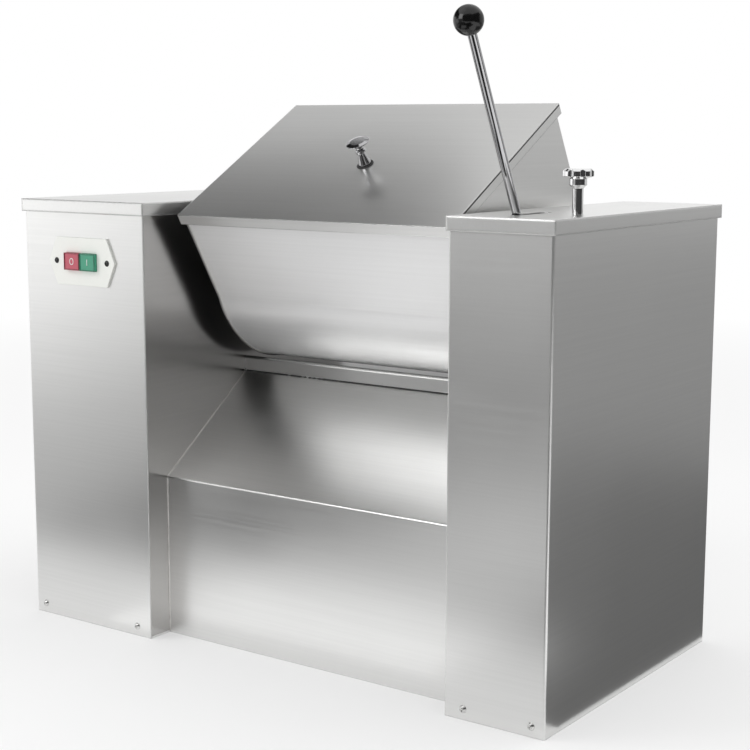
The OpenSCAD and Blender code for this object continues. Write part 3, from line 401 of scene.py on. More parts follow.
@dataclass(frozen=True)
class TurnedSteel(Finish):
    """Turned or polished steel with faint wiping marks."""

    smear: float = 0.08
    handled_scale: float = 90.0
    grain_scale: float = 2500.0
    depth: float = 0.01 * MM
    bump: float = 0.1
    wiped: float = 0.9

    def material(self) -> bpy.types.Material:
        """Builds the material.

        Returns:
            The new material.
        """
        material, bench, shader = self._open()
        shader.inputs["Metallic"].default_value = 1.0
        marks = EFFECTS.place(bench, EFFECTS.handled(), {"Scale": self.handled_scale})
        grain = EFFECTS.place(bench, EFFECTS.brushed_grain(),
                              {"Squeeze": Grain.NONE.value, "Scale": self.grain_scale})
        self._relief(bench, shader, grain.outputs["Height"], self.depth, self.bump)
        rough = bench.math("ADD", bench.math("MULTIPLY", marks.outputs["Mask"], self.smear),
                           self.roughness, clamp=True)
        bench.link(rough, shader.inputs["Roughness"])
        dull = tuple(c * self.wiped for c in self.colour)
        tone = bench.blend(marks.outputs["Mask"], self.colour, dull)
        bench.link(tone, shader.inputs["Base Color"])
        return material


@dataclass(frozen=True)
class PaintedCasting(Finish):
    """Enamel over a slightly rough casting, worn through at its edges."""

    bare: Colour = (0.55, 0.55, 0.54)
    skin_scale: float = 420.0
    handled_scale: float = 30.0
    depth: float = 0.4 * MM
    bump: float = 0.5
    dulling: float = 0.15

    def material(self) -> bpy.types.Material:
        """Builds the material.

        Returns:
            The new material.
        """
        material, bench, shader = self._open()
        skin = EFFECTS.place(bench, EFFECTS.brushed_grain(),
                             {"Squeeze": Grain.NONE.value, "Scale": self.skin_scale})
        marks = EFFECTS.place(bench, EFFECTS.handled(), {"Scale": self.handled_scale})
        edge = self._relief(bench, shader, skin.outputs["Streaks"], self.depth, self.bump)
        worn = bench.math("MULTIPLY", edge, marks.outputs["Mask"])
        tone = bench.blend(worn, self.colour, self.bare)
        bench.link(tone, shader.inputs["Base Color"])
        bench.link(worn, shader.inputs["Metallic"])
        rough = bench.math("ADD", bench.math("MULTIPLY", marks.outputs["Mask"], self.dulling),
                           self.roughness, clamp=True)
        bench.link(rough, shader.inputs["Roughness"])
        return material


@dataclass(frozen=True)
class Moulding(Finish):
    """Moulded plastic or rubber with a fine skin and a little dust, and painted shade at its eased edges
    where shade is set.
    """

    coat: float = 0.0
    skin: float = 0.02 * MM
    dust: Colour = (0.5, 0.5, 0.5)
    dusting: float = 0.03
    shade: float = 0.0
    shaded: float = 0.1
    coat_roughness: float = 0.05
    skin_scale: float = 1500.0
    handled_scale: float = 60.0
    bump: float = 0.3
    dulling: float = 0.12

    def material(self) -> bpy.types.Material:
        """Builds the material.

        Returns:
            The new material.
        """
        material, bench, shader = self._open()
        shader.inputs["Coat Weight"].default_value = self.coat
        shader.inputs["Coat Roughness"].default_value = self.coat_roughness
        skin = EFFECTS.place(bench, EFFECTS.brushed_grain(),
                             {"Squeeze": Grain.NONE.value, "Scale": self.skin_scale})
        marks = EFFECTS.place(bench, EFFECTS.handled(), {"Scale": self.handled_scale})
        edge = self._relief(bench, shader, skin.outputs["Height"], self.skin, self.bump)
        share = bench.math("MULTIPLY", marks.outputs["Mask"], self.dusting)
        # painted shade: the eased edges are darkened towards a share of the colour, over the dust
        grime = bench.add("Mix", data_type="RGBA")
        bench.link(bench.math("MULTIPLY", edge, self.shade), grime.inputs["Factor"])
        bench.link(bench.blend(share, self.colour, self.dust), grime.inputs["A"])
        grime.inputs["B"].default_value = (*(c * self.shaded for c in self.colour), 1.0)
        bench.link(grime.outputs["Result"], shader.inputs["Base Color"])
        rough = bench.math("ADD", bench.math("MULTIPLY", marks.outputs["Mask"], self.dulling),
                           self.roughness, clamp=True)
        bench.link(rough, shader.inputs["Roughness"])
        return material


STEEL: Colour = (0.80, 0.80, 0.79)


class Shelf:
    """The finishes of the mixer, each made once."""

    finishes: Dict[str, Finish] = {
        "sheet_upright": BrushedSteel("sheet_upright", STEEL, 0.30, 2.0 * MM, grain=Grain.LEVEL,
                                      scatter=0.9),
        "sheet_along": BrushedSteel("sheet_along", STEEL, 0.30, 1.4 * MM, grain=Grain.ALONG_X,
                                    scatter=0.3),
        "sheet_top": BrushedSteel("sheet_top", STEEL, 0.30, 3.0 * MM, grain=Grain.ALONG_Y,
                                  scatter=0.5),
        # painted shade: the deck's top behind the ledge is darkened, for the shade under the trough
        "sheet_deck": BrushedSteel("sheet_deck", STEEL, 0.30, 0.4 * MM, grain=Grain.ALONG_X,
                                   painted_shade_behind=True),
        # painted shade: the inner walls are a darker copy of the steel, for the shade between the cabinets
        # and the trough
        "sheet_inner_painted_shade": BrushedSteel("sheet_inner_painted_shade", (0.56, 0.55, 0.54), 0.20, grain=Grain.ALONG_Y),
        "lid_sheet": BrushedSteel("lid_sheet", STEEL, 0.30, 1.2 * MM, grain=Grain.ALONG_X),
        "trough_sheet": BrushedSteel("trough_sheet", (0.88, 0.88, 0.88), 0.34, grain=Grain.ALONG_X,
                                     satin=0.42),
        "trough_end": BrushedSteel("trough_end", STEEL, 0.30, grain=Grain.ALONG_Y),
        # painted shade: the left end plate is a dark copy of the steel, so the gap by the left wall and its
        # reflection there show dark
        "trough_end_painted_shade": BrushedSteel("trough_end_painted_shade", (0.36, 0.36, 0.36), 0.30,
                                        grain=Grain.ALONG_Y),
        "paddle_steel": BrushedSteel("paddle_steel", STEEL, 0.32, grain=Grain.NONE, scale=500.0),
        "turned": TurnedSteel("turned", (0.74, 0.74, 0.73), 0.22),
        "polished": TurnedSteel("polished", (0.90, 0.90, 0.90), 0.06, smear=0.05),
        "dark_chrome": TurnedSteel("dark_chrome", (0.52, 0.52, 0.53), 0.06, smear=0.05),
        "machined": TurnedSteel("machined", (0.50, 0.51, 0.52), 0.32),
        "bronze": TurnedSteel("bronze", (0.66, 0.46, 0.24), 0.30),
        "blackened": TurnedSteel("blackened", (0.09, 0.09, 0.09), 0.35),
        "weld": TurnedSteel("weld", (0.78, 0.77, 0.75), 0.34, smear=0.2),
        "enamel": PaintedCasting("enamel", (0.12, 0.16, 0.19), 0.38),
        "black_gloss": Moulding("black_gloss", (0.004, 0.004, 0.004), 0.10, dusting=0.002),
        "black_satin": Moulding("black_satin", (0.02, 0.02, 0.02), 0.42),
        "ivory": Moulding("ivory", (0.86, 0.87, 0.83), 0.35, dusting=0.02),
        # painted shade: the buttons' eased edges are darkened for the shade at their sides
        "red": Moulding("red", (0.50, 0.06, 0.10), 0.28, 1.6 * MM, coat=0.4, shade=0.85),
        "green": Moulding("green", (0.02, 0.30, 0.17), 0.28, 1.6 * MM, coat=0.4, shade=0.85),
        "print_white": Moulding("print_white", (0.85, 0.85, 0.82), 0.4),
        "seal": Moulding("seal", (0.03, 0.03, 0.03), 0.6),
    }

    def __init__(self) -> None:
        """Starts with no material made."""
        self.made: Dict[str, bpy.types.Material] = {}

    def take(self, name: str) -> bpy.types.Material:
        """The material of that finish, made on its first use.

        Args:
            name: A key of the finishes.

        Returns:
            The material.
        """
        if name not in self.made:
            self.made[name] = self.finishes[name].material()
        return self.made[name]


SHELF = Shelf()


@dataclass
class SubAssembly:
    """A group of CAD nodes that share a place, with the finish of each."""

    body: str = "root"
    wear: Dict[str, str] = field(default_factory=dict)

    def dress(self) -> None:
        """Gives every CAD node of the group its finish."""
        for node, finish in self.wear.items():
            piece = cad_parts[node]
            piece.data.materials.clear()
            piece.data.materials.append(SHELF.take(finish))
            log.info("node %s wears %s", node, finish)

    def keep(self, name: str, mesh: bmesh.types.BMesh, finish: str, slot: str,
             place: Optional[Matrix] = None, body: str = "") -> bpy.types.Object:
        """Turns a bmesh into a piece that rides on a body.

        Args:
            name: The piece's name.
            mesh: The shape, which is freed.
            finish: Its finish.
            slot: The record's material slot that it belongs to. Not used.
            place: Where it goes.
            body: The body that it rides on, or the group's own.

        Returns:
            The new object.
        """
        data = bpy.data.meshes.new(name)
        bmesh.ops.recalc_face_normals(mesh, faces=mesh.faces)
        mesh.to_mesh(data)
        mesh.free()
        data.materials.append(SHELF.take(finish))
        data.shade_smooth()
        piece = bpy.data.objects.new(name, data)
        bpy.context.scene.collection.objects.link(piece)
        if place is not None:
            piece.matrix_world = place
        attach(piece, body or self.body)
        log.info("piece %s rides on %s", name, body or self.body)
        return piece

    def build(self) -> None:
        """Dresses the nodes; a group with pieces of its own adds them."""
        self.dress()


def tipped_place() -> Matrix:
    """The place of the trough's and the lid's own upright frame, tipped as in the photo."""
    return Matrix.Translation(SHAFT_AXIS) @ Matrix.Rotation(REST_TILT, 4, "X")


def tube_along(path: Sequence[Vector], radius: Callable[[int], float], sides: int = 8) -> bmesh.types.BMesh:
    """A round bead that follows a path, which runs along X or in a plane square to it.

    Args:
        path: The points of its centre line.
        radius: Its radius at each point.
        sides: How many sides the round has.

    Returns:
        The bead as a bmesh, closed at both ends.
    """
    mesh = bmesh.new()
    rings: List[List[bmesh.types.BMVert]] = []
    for i, point in enumerate(path):
        ahead = path[min(i + 1, len(path) - 1)] - path[max(i - 1, 0)]
        across = Vector((0.0, 0.0, 1.0)) if ahead.y == ahead.z == 0.0 else Vector((1.0, 0.0, 0.0))
        side = ahead.cross(across).normalized()
        up = side.cross(ahead).normalized()
        rings.append([
            mesh.verts.new(point + radius(i) * (math.cos(a) * side + math.sin(a) * up))
            for a in (math.tau * k / sides for k in range(sides))])
    for first, second in zip(rings, rings[1:]):
        for k in range(sides):
            mesh.faces.new((first[k], first[(k + 1) % sides], second[(k + 1) % sides], second[k]))
    mesh.faces.new(rings[0][::-1])
    mesh.faces.new(rings[-1])
    return mesh


@dataclass
class Cabinets(SubAssembly):
    """The two sheet-metal cabinets with their walls, covers, bearings and screws."""

    wear: Dict[str, str] = field(default_factory=lambda: {
        "left_casing": "sheet_upright", "right_casing": "sheet_upright",
        # painted shade: the inner walls wear the darkened copy of the steel
        "left_inner_wall": "sheet_inner_painted_shade", "right_inner_wall": "sheet_inner_painted_shade",
        "left_cover": "sheet_top", "right_cover": "sheet_top",
        "rear_panel": "sheet_along", "base_tray": "sheet_along", "casing_screws": "turned",
        "left_bearing_housing": "enamel", "right_bearing_housing": "enamel",
        "bearing_bolts": "turned",
    })


@dataclass
class Chute(SubAssembly):
    """The panels between the cabinets: chute front with its slope, and the deck, welded to the walls."""

    wear: Dict[str, str] = field(default_factory=lambda: {
        "front_apron": "sheet_along", "deck_panel": "sheet_deck",
    })
    slope_low: Vector = field(default_factory=lambda: Vector((0.0, -150.5, 184.0)) * MM)
    slope_high: Vector = field(default_factory=lambda: Vector((0.0, -11.0, 288.8)) * MM)
    bead: float = 1.1 * MM
    ripple: float = 0.25 * MM
    step: float = 1.7 * MM
    ripple_rate: float = 2.3
    sink_share: float = 0.2
    shade_line: float = 1.3 * MM
    shade_line_step: float = 6.8 * MM

    def shade_line_path(self) -> List[Vector]:
        """A black bead along the foot of the ledge, from wall to wall: a painted shadow line.

        Returns:
            Points along X.
        """
        low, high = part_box("front_apron")
        start = Vector((low.x + 2 * self.bead, self.slope_high.y, self.slope_high.z))
        end = Vector((high.x - 2 * self.bead, self.slope_high.y, self.slope_high.z))
        count = int((end - start).length / self.shade_line_step)
        return [start.lerp(end, i / count) for i in range(count + 1)]

    def bead_path(self) -> List[Vector]:
        """The joint line of the panels and a wall: up the front, then up the slope.

        Returns:
            Points in the plane X = 0.
        """
        low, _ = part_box("front_apron")
        foot = Vector((0.0, self.slope_low.y, low.z + 2 * self.bead))
        path: List[Vector] = []
        for start, end in ((foot, self.slope_low), (self.slope_low, self.slope_high)):
            count = int((end - start).length / self.step)
            path += [start.lerp(end, i / count) for i in range(count)]
        return path

    def build(self) -> None:
        """Dresses the panels and adds a bead at each wall and a black bead at the ledge's foot as a painted
        shadow line.
        """
        self.dress()
        low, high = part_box("front_apron")
        inset = self.sink_share * self.bead
        for x, name in ((low.x + inset, "left_chute_weld"), (high.x - inset, "right_chute_weld")):
            mesh = tube_along(self.bead_path(),
                              lambda i: self.bead + self.ripple * math.sin(i * self.ripple_rate))
            self.keep(name, mesh, "weld", "brushed_stainless", Matrix.Translation((x, 0.0, 0.0)))
        # painted shadow: a black bead along the ledge's foot stands in for the shadow line where the ledge
        # meets the slope
        self.keep("ledge_shade_line", tube_along(self.shade_line_path(), lambda i: self.shade_line), "seal", "seal_rubber")


@dataclass
class Trough(SubAssembly):
    """The tilting trough with its trunnions and tilt crank, and the weld beads at its ends."""

    body: str = "trough"
    wear: Dict[str, str] = field(default_factory=lambda: {
        # painted shade: the left end plate wears the darkened copy of the steel
        "trough_shell": "trough_sheet", "trough_left_end": "trough_end_painted_shade",
        "trough_right_end": "trough_end", "trough_rim": "trough_end",
        "left_trunnion": "turned", "right_trunnion": "turned", "trunnion_collar": "turned",
        "trunnion_key": "machined", "tilt_arm": "machined", "lever_nut": "turned",
        "shaft_bushes": "bronze", "shaft_seals": "seal",
    })
    radius: float = 117.0 * MM
    rim: float = 131.0 * MM
    crease: float = 20.0 * MM
    half_length: float = 173.0 * MM
    bead: float = 0.9 * MM
    ripple: float = 0.12 * MM
    step: float = 1.6 * MM
    ripple_rate: float = 1.9
    sink_share: float = 0.3

    def weld_path(self, side: int) -> List[Vector]:
        """The joint line of an end plate and the shell, from rim to rim.

        Args:
            side: -1 for the left end and 1 for the right.

        Returns:
            Points in the trough's own upright frame.
        """
        x = side * (self.half_length - self.bead * self.sink_share)
        r = self.radius + self.bead * self.sink_share
        start = math.asin(self.crease / r)
        crease_y = r * math.cos(start)
        straight = int((self.rim - self.crease) / self.step)
        turns = int((math.pi + 2 * start) * r / self.step)
        angles = [start - (math.pi + 2 * start) * i / turns for i in range(turns + 1)]
        round_ = [Vector((x, -r * math.cos(a), r * math.sin(a))) for a in angles]
        up = [Vector((x, crease_y + (r - crease_y) * i / straight,
                      self.crease + (self.rim - self.crease) * i / straight))
              for i in range(1, straight + 1)]
        down = [Vector((x, -point.y, point.z)) for point in reversed(up)]
        return down + round_ + up

    def build(self) -> None:
        """Dresses the trough and adds its two weld beads."""
        self.dress()
        place = tipped_place()
        for side, name in ((-1, "left_end_weld"), (1, "right_end_weld")):
            path = self.weld_path(side)
            mesh = tube_along(path, lambda i: self.bead + self.ripple * math.sin(i * self.ripple_rate))
            self.keep(name, mesh, "weld", "brushed_stainless", place)


@dataclass
class Lid(SubAssembly):
    """The lift-off lid with its turned knob, a washer under the knob, and a black rubber strip on each side
    that paints the shadow line under the lid's edge.
    """

    body: str = "lid"
    wear: Dict[str, str] = field(default_factory=lambda: {
        "lid_panel": "lid_sheet", "lid_knob": "dark_chrome", "lid_knob_nut": "turned",
    })
    half_length: float = 179.0 * MM
    half_width: float = 122.0 * MM
    top: float = 135.7 * MM
    shadow_strip: Tuple[float, float] = (0.4 * MM, 1.7 * MM)
    shadow_strip_drop: float = 1.0 * MM
    shadow_strip_profile: Tuple[Tuple[float, float], ...] = (
        (0.0, 0.0), (0.7, -0.15), (1.0, -0.5), (0.7, -0.85), (0.0, -1.0))
    knob: Tuple[float, float] = (6.0 * MM, -9.0 * MM)
    washer: Tuple[float, float, float] = (7.05 * MM, 9.5 * MM, 0.8 * MM)
    washer_easing: float = 0.32 * MM
    steps: int = 40

    def shadow_strip_mesh(self) -> bmesh.types.BMesh:
        """A thin black rubber strip with a rounded outer face, along Y: a painted shadow line.

        Returns:
            The trim as a bmesh, with its upper inner edge through the origin.
        """
        mesh = bmesh.new()
        out, high = self.shadow_strip
        profile = [(x * out, z * high) for x, z in self.shadow_strip_profile]
        reach = self.half_width - 2 * out
        rows = [[mesh.verts.new(Vector((x, y, z))) for x, z in profile] for y in (-reach, reach)]
        count = len(profile)
        for k in range(count):
            after = (k + 1) % count
            mesh.faces.new((rows[0][k], rows[0][after], rows[1][after], rows[1][k]))
        mesh.faces.new(rows[0][::-1])
        mesh.faces.new(rows[1])
        return mesh

    def washer_mesh(self) -> bmesh.types.BMesh:
        """A flat ring with an eased outer edge, about Z.

        Returns:
            The ring as a bmesh, standing on Z = 0.
        """
        mesh = bmesh.new()
        inner, outer, high = self.washer
        ease = self.washer_easing
        profile = [(inner, 0.0), (outer, 0.0), (outer, high - ease), (outer - ease, high), (inner, high)]
        rings: List[List[bmesh.types.BMVert]] = []
        for i in range(self.steps):
            a = math.tau * i / self.steps
            rings.append([mesh.verts.new(Vector((r * math.cos(a), r * math.sin(a), z))) for r, z in profile])
        count = len(profile)
        for i in range(self.steps):
            first, second = rings[i], rings[(i + 1) % self.steps]
            for k in range(count):
                after = (k + 1) % count
                mesh.faces.new((first[k], first[after], second[after], second[k]))
        return mesh

    def build(self) -> None:
        """Dresses the lid and adds its two painted shadow strips and the knob's washer."""
        self.dress()
        place = tipped_place()
        turn = Matrix.Rotation(math.pi, 4, "Z")
        high = self.top - self.shadow_strip_drop
        right = place @ Matrix.Translation((self.half_length, 0.0, high))
        left = place @ Matrix.Translation((-self.half_length, 0.0, high)) @ turn
        # painted shadow: black strips on the lid's sides stand in for the shadow line under its edges
        self.keep("lid_right_shadow_strip", self.shadow_strip_mesh(), "seal", "seal_rubber", right)
        self.keep("lid_left_shadow_strip", self.shadow_strip_mesh(), "seal", "seal_rubber", left)
        foot = place @ Matrix.Translation((*self.knob, self.top))
        self.keep("knob_washer", self.washer_mesh(), "seal", "seal_rubber", foot)


@dataclass
class Paddle(SubAssembly):
    """The mixing shaft with its arms and ribbons, and the gear on its end."""

    body: str = "mixer"
    wear: Dict[str, str] = field(default_factory=lambda: {
        "mixer_shaft": "turned", "paddle_arms": "paddle_steel", "paddle_ribbons": "paddle_steel",
        "drive_gear": "machined", "gear_key": "machined", "gear_retainer": "turned",
    })


@dataclass
class Drive(SubAssembly):
    """The gearbox with its plate, motor and wiring parts."""

    wear: Dict[str, str] = field(default_factory=lambda: {
        "gearbox_plate": "machined", "plate_spacers": "turned", "gearbox": "enamel",
        "gearbox_bolts": "turned", "motor": "enamel", "motor_terminal_box": "enamel",
        "motor_fan_cover": "black_satin", "cable_gland": "black_satin", "gland_nut": "black_satin",
        "output_shaft": "turned", "pinion": "machined",
    })


@dataclass
class Lever(SubAssembly):
    """The tilt lever: a plated rod with a black ball."""

    body: str = "trough"
    wear: Dict[str, str] = field(default_factory=lambda: {
        "lever_rod": "dark_chrome", "lever_ball": "black_gloss",
    })


@dataclass
class Latch(SubAssembly):
    """The fluted knob on the right cover and the plate that it swings under it."""

    body: str = "latch"
    wear: Dict[str, str] = field(default_factory=lambda: {
        "latch_bush": "bronze", "latch_spindle": "turned", "latch_knob": "polished",
        "latch_plate": "machined", "latch_nut": "turned",
    })


@dataclass
class Switch(SubAssembly):
    """The switch with its ivory plate, its two buttons and the marks on them."""

    wear: Dict[str, str] = field(default_factory=lambda: {
        "switch_plate": "ivory", "switch_body": "black_satin", "switch_screws": "blackened",
        "stop_button": "red", "start_button": "green",
    })
    mark_high: float = 7.0 * MM
    mark_wide: float = 5.6 * MM
    stroke: float = 0.9 * MM
    lift: float = 0.25 * MM
    dish: float = 0.8 * MM
    steps: int = 28

    def ring_mark(self) -> bmesh.types.BMesh:
        """The ring of the OFF mark, in the XZ plane."""
        points = [Vector((0.5 * self.mark_wide * math.cos(a), 0.0, 0.5 * self.mark_high * math.sin(a)))
                  for a in (math.tau * i / self.steps for i in range(self.steps + 1))]
        return self.stroke_mesh(points)

    def bar_mark(self) -> bmesh.types.BMesh:
        """The bar of the ON mark, in the XZ plane."""
        half = 0.5 * self.mark_high
        return self.stroke_mesh([Vector((0.0, 0.0, half * k)) for k in (-1.0, 0.0, 1.0)])

    def stroke_mesh(self, points: Sequence[Vector]) -> bmesh.types.BMesh:
        """A flat raised stroke along points in the XZ plane.

        Args:
            points: The stroke's centre line.

        Returns:
            The stroke as a bmesh.
        """
        mesh = bmesh.new()
        rows: List[List[bmesh.types.BMVert]] = []
        for i, point in enumerate(points):
            ahead = points[min(i + 1, len(points) - 1)] - points[max(i - 1, 0)]
            side = ahead.cross(Vector((0.0, 1.0, 0.0))).normalized() * self.stroke / 2
            rows.append([mesh.verts.new(point + k * side + Vector((0.0, y, 0.0)))
                         for k, y in ((-1, 0.0), (-1, -self.lift), (1, -self.lift), (1, 0.0))])
        for first, second in zip(rows, rows[1:]):
            for k in range(4):
                mesh.faces.new((first[k], first[(k + 1) % 4], second[(k + 1) % 4], second[k]))
        mesh.faces.new(rows[0][::-1])
        mesh.faces.new(rows[-1])
        return mesh

    def build(self) -> None:
        """Dresses the switch and sets a mark on the dished face of each button."""
        self.dress()
        for node, name, mesh in (("stop_button", "stop_mark", self.ring_mark()),
                                 ("start_button", "start_mark", self.bar_mark())):
            low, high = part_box(node)
            middle = (low + high) / 2
            face = Vector((middle.x, low.y + self.dish, middle.z))
            piece = self.keep(name, mesh, "print_white", "white_plastic",
                              Matrix.Translation(face), body=node)
            piece.data.shade_flat()


@dataclass(frozen=True)
class Card:
    """A board beside the mixer that gives the steel something to reflect."""

    name: str
    place: Tuple[float, float, float]
    aim: Tuple[float, float, float]
    size: Tuple[float, float]
    level: float


@dataclass(frozen=True)
class Lamp:
    """A softbox that lights the scene without showing in the steel."""

    name: str
    place: Tuple[float, float, float]
    aim: Tuple[float, float, float]
    size: Tuple[float, float]
    watts: float


def on_table(name: str, place: Tuple[float, float, float], size: Tuple[float, float],
             level: float) -> Card:
    """A card that lies flat on the table and faces up.

    Args:
        name: The card's name.
        place: The middle of the card.
        size: Its reach along X and Y.
        level: Its brightness.

    Returns:
        The card.
    """
    return Card(name, place, (place[0], place[1], 1.0), size, level)


@dataclass
class Studio:
    """Camera, lamps, floor and surroundings."""

    eye: Vector = field(default_factory=lambda: Vector((1.0434, -1.4285, 0.5768)))
    yaw: float = math.radians(35.62)
    pitch: float = math.radians(8.99)
    roll: float = math.radians(0.13)
    lens: float = 75.05
    sensor: float = 36.0
    near: float = 0.05
    floor_radius: float = 14.0
    floor_fade: Tuple[float, float] = (1.2, 3.2)
    floor_colour: Colour = (0.88, 0.88, 0.88)
    floor_glow: float = 0.4
    floor_drop: float = 0.0002
    floor_sides: int = 96
    floor_roughness: float = 0.9
    room_colour: Colour = (0.75, 0.75, 0.75)
    lamps: Tuple[Lamp, ...] = (
        Lamp("front_left_softbox", (-2.2, -2.0, 2.2), (0.0, 0.0, 0.25), (1.6, 1.6), 28.0),
        Lamp("top_softbox", (0.6, 0.4, 2.6), (0.0, 0.0, 0.3), (2.0, 2.0), 22.0),
    )
    cards: Tuple[Card, ...] = (
        Card("left_low_card", (-2.05, -1.60, 0.49), (0.0, 0.0, 0.4), (1.15, 0.92), 1.36),
        Card("left_high_flag", (-1.84, -1.44, 1.54), (0.0, 0.0, 0.4), (1.15, 1.3), 0.05),
        Card("front_low_card", (-1.10, -2.36, 0.49), (0.0, 0.0, 0.4), (1.4, 0.92), 0.34),
        Card("front_softbox", (-0.99, -2.12, 1.54), (0.0, 0.0, 0.4), (1.4, 1.3), 3.7),
        Card("upper_softbox", (-0.79, -1.13, 2.6), (0.0, 0.0, 0.4), (1.6, 1.4), 1.2),
        Card("camera_side_flag", (1.49, -2.13, 1.1), (0.0, 0.0, 0.7), (5.2, 2.7), 0.05),
        Card("right_flag", (2.36, 0.42, 1.1), (0.3, 0.0, 0.7), (2.6, 2.6), 0.04),
        Card("back_right_card", (1.0, 1.35, 0.96), (0.35, 0.0, 0.96), (2.2, 1.08), 0.6),
        Card("back_right_flag", (1.0, 1.35, 0.215), (0.35, 0.0, 0.215), (2.2, 0.41), 0.3),
        Card("ceiling_card", (-1.3, 0.8, 2.1), (0.0, 0.0, 0.5), (1.8, 1.8), 0.68),
        Card("lid_flag", (-0.61, -0.21, 1.0), (-0.61, -0.21, 0.0), (0.98, 0.78), 0.02),
        on_table("table_right_near", (0.752, 0.425, 0.002), (0.795, 1.15), 0.14),
        on_table("table_right_far", (1.278, 1.75, 0.002), (1.845, 1.5), 0.27),
        on_table("table_side_near", (0.9, -0.25, 0.003), (0.8, 0.6), 1.2),
        on_table("table_side_far", (2.1, -0.35, 0.003), (1.6, 1.5), 1.2),
        on_table("table_near_left", (-0.46, -0.31, 0.002), (0.42, 0.22), 0.86),
        on_table("table_near_middle", (-0.04, -0.31, 0.002), (0.42, 0.22), 1.07),
        on_table("table_near_right", (0.32, -0.31, 0.002), (0.3, 0.22), 0.8),
        on_table("table_left_flag", (-0.46, -0.715, 0.002), (0.42, 0.59), 0.03),
        on_table("table_middle", (-0.04, -0.535, 0.002), (0.42, 0.23), 0.45),
        on_table("table_beyond", (0.05, -0.83, 0.002), (0.6, 0.36), 0.9),
        on_table("table_outer_left", (-1.135, -0.775, 0.003), (0.93, 1.05), 0.48),
        on_table("table_far_left", (-2.25, -1.45, 0.002), (1.3, 1.9), 0.76),
        on_table("table_far_flag", (-0.6, -1.755, 0.001), (2.0, 1.49), 0.14),
        on_table("table_camera_flag", (0.885, -1.01, 0.001), (1.43, 1.18), 0.03),
    )

    def camera(self) -> None:
        """Sets the camera where the photograph was taken from."""
        right = Vector((math.cos(self.yaw), math.sin(self.yaw), 0.0))
        ahead = Vector((-math.sin(self.yaw) * math.cos(self.pitch),
                        math.cos(self.yaw) * math.cos(self.pitch), -math.sin(self.pitch)))
        up = right.cross(ahead)
        turned_right = math.cos(self.roll) * right + math.sin(self.roll) * up
        turned_up = -math.sin(self.roll) * right + math.cos(self.roll) * up
        data = bpy.data.cameras.new("photo_camera")
        data.lens = self.lens
        data.sensor_width = self.sensor
        data.clip_start = self.near
        camera = bpy.data.objects.new("photo_camera", data)
        turn = Matrix((turned_right, turned_up, -ahead)).transposed()
        camera.matrix_world = Matrix.Translation(self.eye) @ turn.to_4x4()
        bpy.context.scene.collection.objects.link(camera)
        bpy.context.scene.camera = camera

    def lamp(self, lamp: Lamp) -> None:
        """Hangs a lamp.

        Args:
            lamp: Its place, size and power.
        """
        data = bpy.data.lights.new(lamp.name, "AREA")
        data.shape = "RECTANGLE"
        data.size, data.size_y = lamp.size
        data.energy = lamp.watts
        box = bpy.data.objects.new(lamp.name, data)
        box.location = lamp.place
        box.rotation_euler = (Vector(lamp.aim) - Vector(lamp.place)).to_track_quat("-Z", "Y").to_euler()
        box.visible_glossy = False
        bpy.context.scene.collection.objects.link(box)

    def card(self, card: Card) -> None:
        """Stands a card that only shows in reflections.

        Args:
            card: Its place, size and brightness.
        """
        mesh = bmesh.new()
        bmesh.ops.create_grid(mesh, x_segments=1, y_segments=1, size=0.5)
        data = bpy.data.meshes.new(card.name)
        mesh.to_mesh(data)
        mesh.free()
        board = bpy.data.objects.new(card.name, data)
        board.location = card.place
        board.rotation_euler = (Vector(card.aim) - Vector(card.place)).to_track_quat("Z", "Y").to_euler()
        board.scale = (*card.size, 1.0)
        bpy.context.scene.collection.objects.link(board)
        material = bpy.data.materials.new(card.name)
        material.use_nodes = True
        bench = NodeBench(material.node_tree)
        glow = bench.add("Emission", {"Color": (1.0, 1.0, 1.0, 1.0), "Strength": card.level})
        bench.link(glow.outputs["Emission"], material.node_tree.nodes["Material Output"].inputs["Surface"])
        data.materials.append(material)
        board.visible_camera = False
        board.visible_diffuse = False
        board.visible_shadow = False
        board.visible_transmission = False

    def seen(self, bench: NodeBench) -> bpy.types.NodeSocket:
        """Tells the rays that show the background from those that only carry light.

        Args:
            bench: The bench of the floor's or the world's tree.

        Returns:
            A socket that is 1 for camera, glossy and transmission rays.
        """
        ray = bench.add("LightPath")
        straight = bench.math("MAXIMUM", ray.outputs["Is Camera Ray"], ray.outputs["Is Transmission Ray"])
        return bench.math("MAXIMUM", straight, ray.outputs["Is Glossy Ray"])

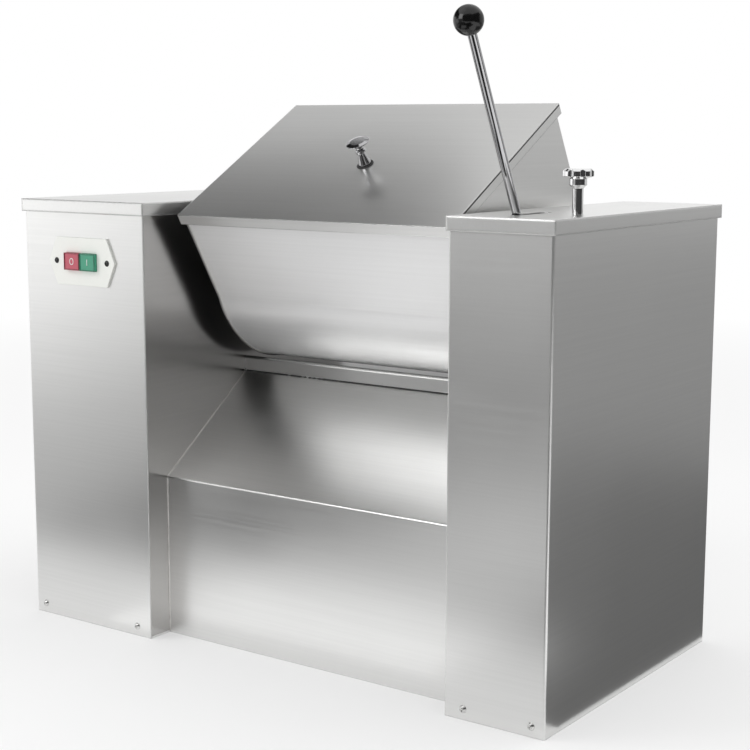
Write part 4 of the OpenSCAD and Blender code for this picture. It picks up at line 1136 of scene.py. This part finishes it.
    def floor(self) -> None:
        """Lays a pale floor that fades into the white surroundings far from the mixer."""
        mesh = bmesh.new()
        bmesh.ops.create_circle(mesh, cap_ends=True, segments=self.floor_sides, radius=self.floor_radius)
        data = bpy.data.meshes.new("floor")
        mesh.to_mesh(data)
        mesh.free()
        floor = bpy.data.objects.new("floor", data)
        floor.location = (0.0, 0.0, -self.floor_drop)
        bpy.context.scene.collection.objects.link(floor)
        material = bpy.data.materials.new("floor_paper")
        material.use_nodes = True
        bench = NodeBench(material.node_tree)
        paper = material.node_tree.nodes["Principled BSDF"]
        paper.inputs["Base Color"].default_value = (*self.floor_colour, 1.0)
        paper.inputs["Roughness"].default_value = self.floor_roughness
        paper.inputs["Specular IOR Level"].default_value = 0.0
        place = bench.add("TexCoord")
        length = bench.add("VectorMath", operation="LENGTH")
        bench.link(place.outputs["Object"], length.inputs[0])
        far = bench.stretch(length.outputs["Value"], *self.floor_fade, self.floor_glow, 1.0)
        glow = bench.add("Emission", {"Color": (1.0, 1.0, 1.0, 1.0), "Strength": 1.0})
        shown = self.seen(bench)
        mix = bench.add("MixShader")
        bench.link(bench.math("MULTIPLY", far, shown), mix.inputs["Fac"])
        bench.link(paper.outputs["BSDF"], mix.inputs[1])
        bench.link(glow.outputs["Emission"], mix.inputs[2])
        bench.link(mix.outputs["Shader"], material.node_tree.nodes["Material Output"].inputs["Surface"])
        data.materials.append(material)

    def surroundings(self) -> None:
        """Sets a white background, and a pale room as the light of the shadows."""
        world = bpy.data.worlds.new("studio")
        world.use_nodes = True
        bpy.context.scene.world = world
        bench = NodeBench(world.node_tree)
        out = world.node_tree.nodes["World Output"]
        room = world.node_tree.nodes["Background"]
        room.inputs["Color"].default_value = (*self.room_colour, 1.0)
        white = bench.add("Background", {"Color": (1.0, 1.0, 1.0, 1.0), "Strength": 1.0})
        mix = bench.add("MixShader")
        bench.link(self.seen(bench), mix.inputs["Fac"])
        bench.link(room.outputs["Background"], mix.inputs[1])
        bench.link(white.outputs["Background"], mix.inputs[2])
        bench.link(mix.outputs["Shader"], out.inputs["Surface"])

    def build(self) -> None:
        """Sets up the whole studio."""
        bpy.context.scene.view_settings.view_transform = "Standard"
        self.camera()
        self.surroundings()
        self.floor()
        for lamp in self.lamps:
            self.lamp(lamp)
        for card in self.cards:
            self.card(card)
        log.info("studio is set")


def main() -> None:
    """Builds the studio and every sub-assembly."""
    logging.basicConfig(level=logging.INFO, format="%(name)s: %(message)s")
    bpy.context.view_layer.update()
    Studio().build()
    for group in (Cabinets(), Chute(), Trough(), Lid(), Paddle(), Drive(), Lever(), Latch(), Switch()):
        group.build()


if __name__ == "__main__":
    main()
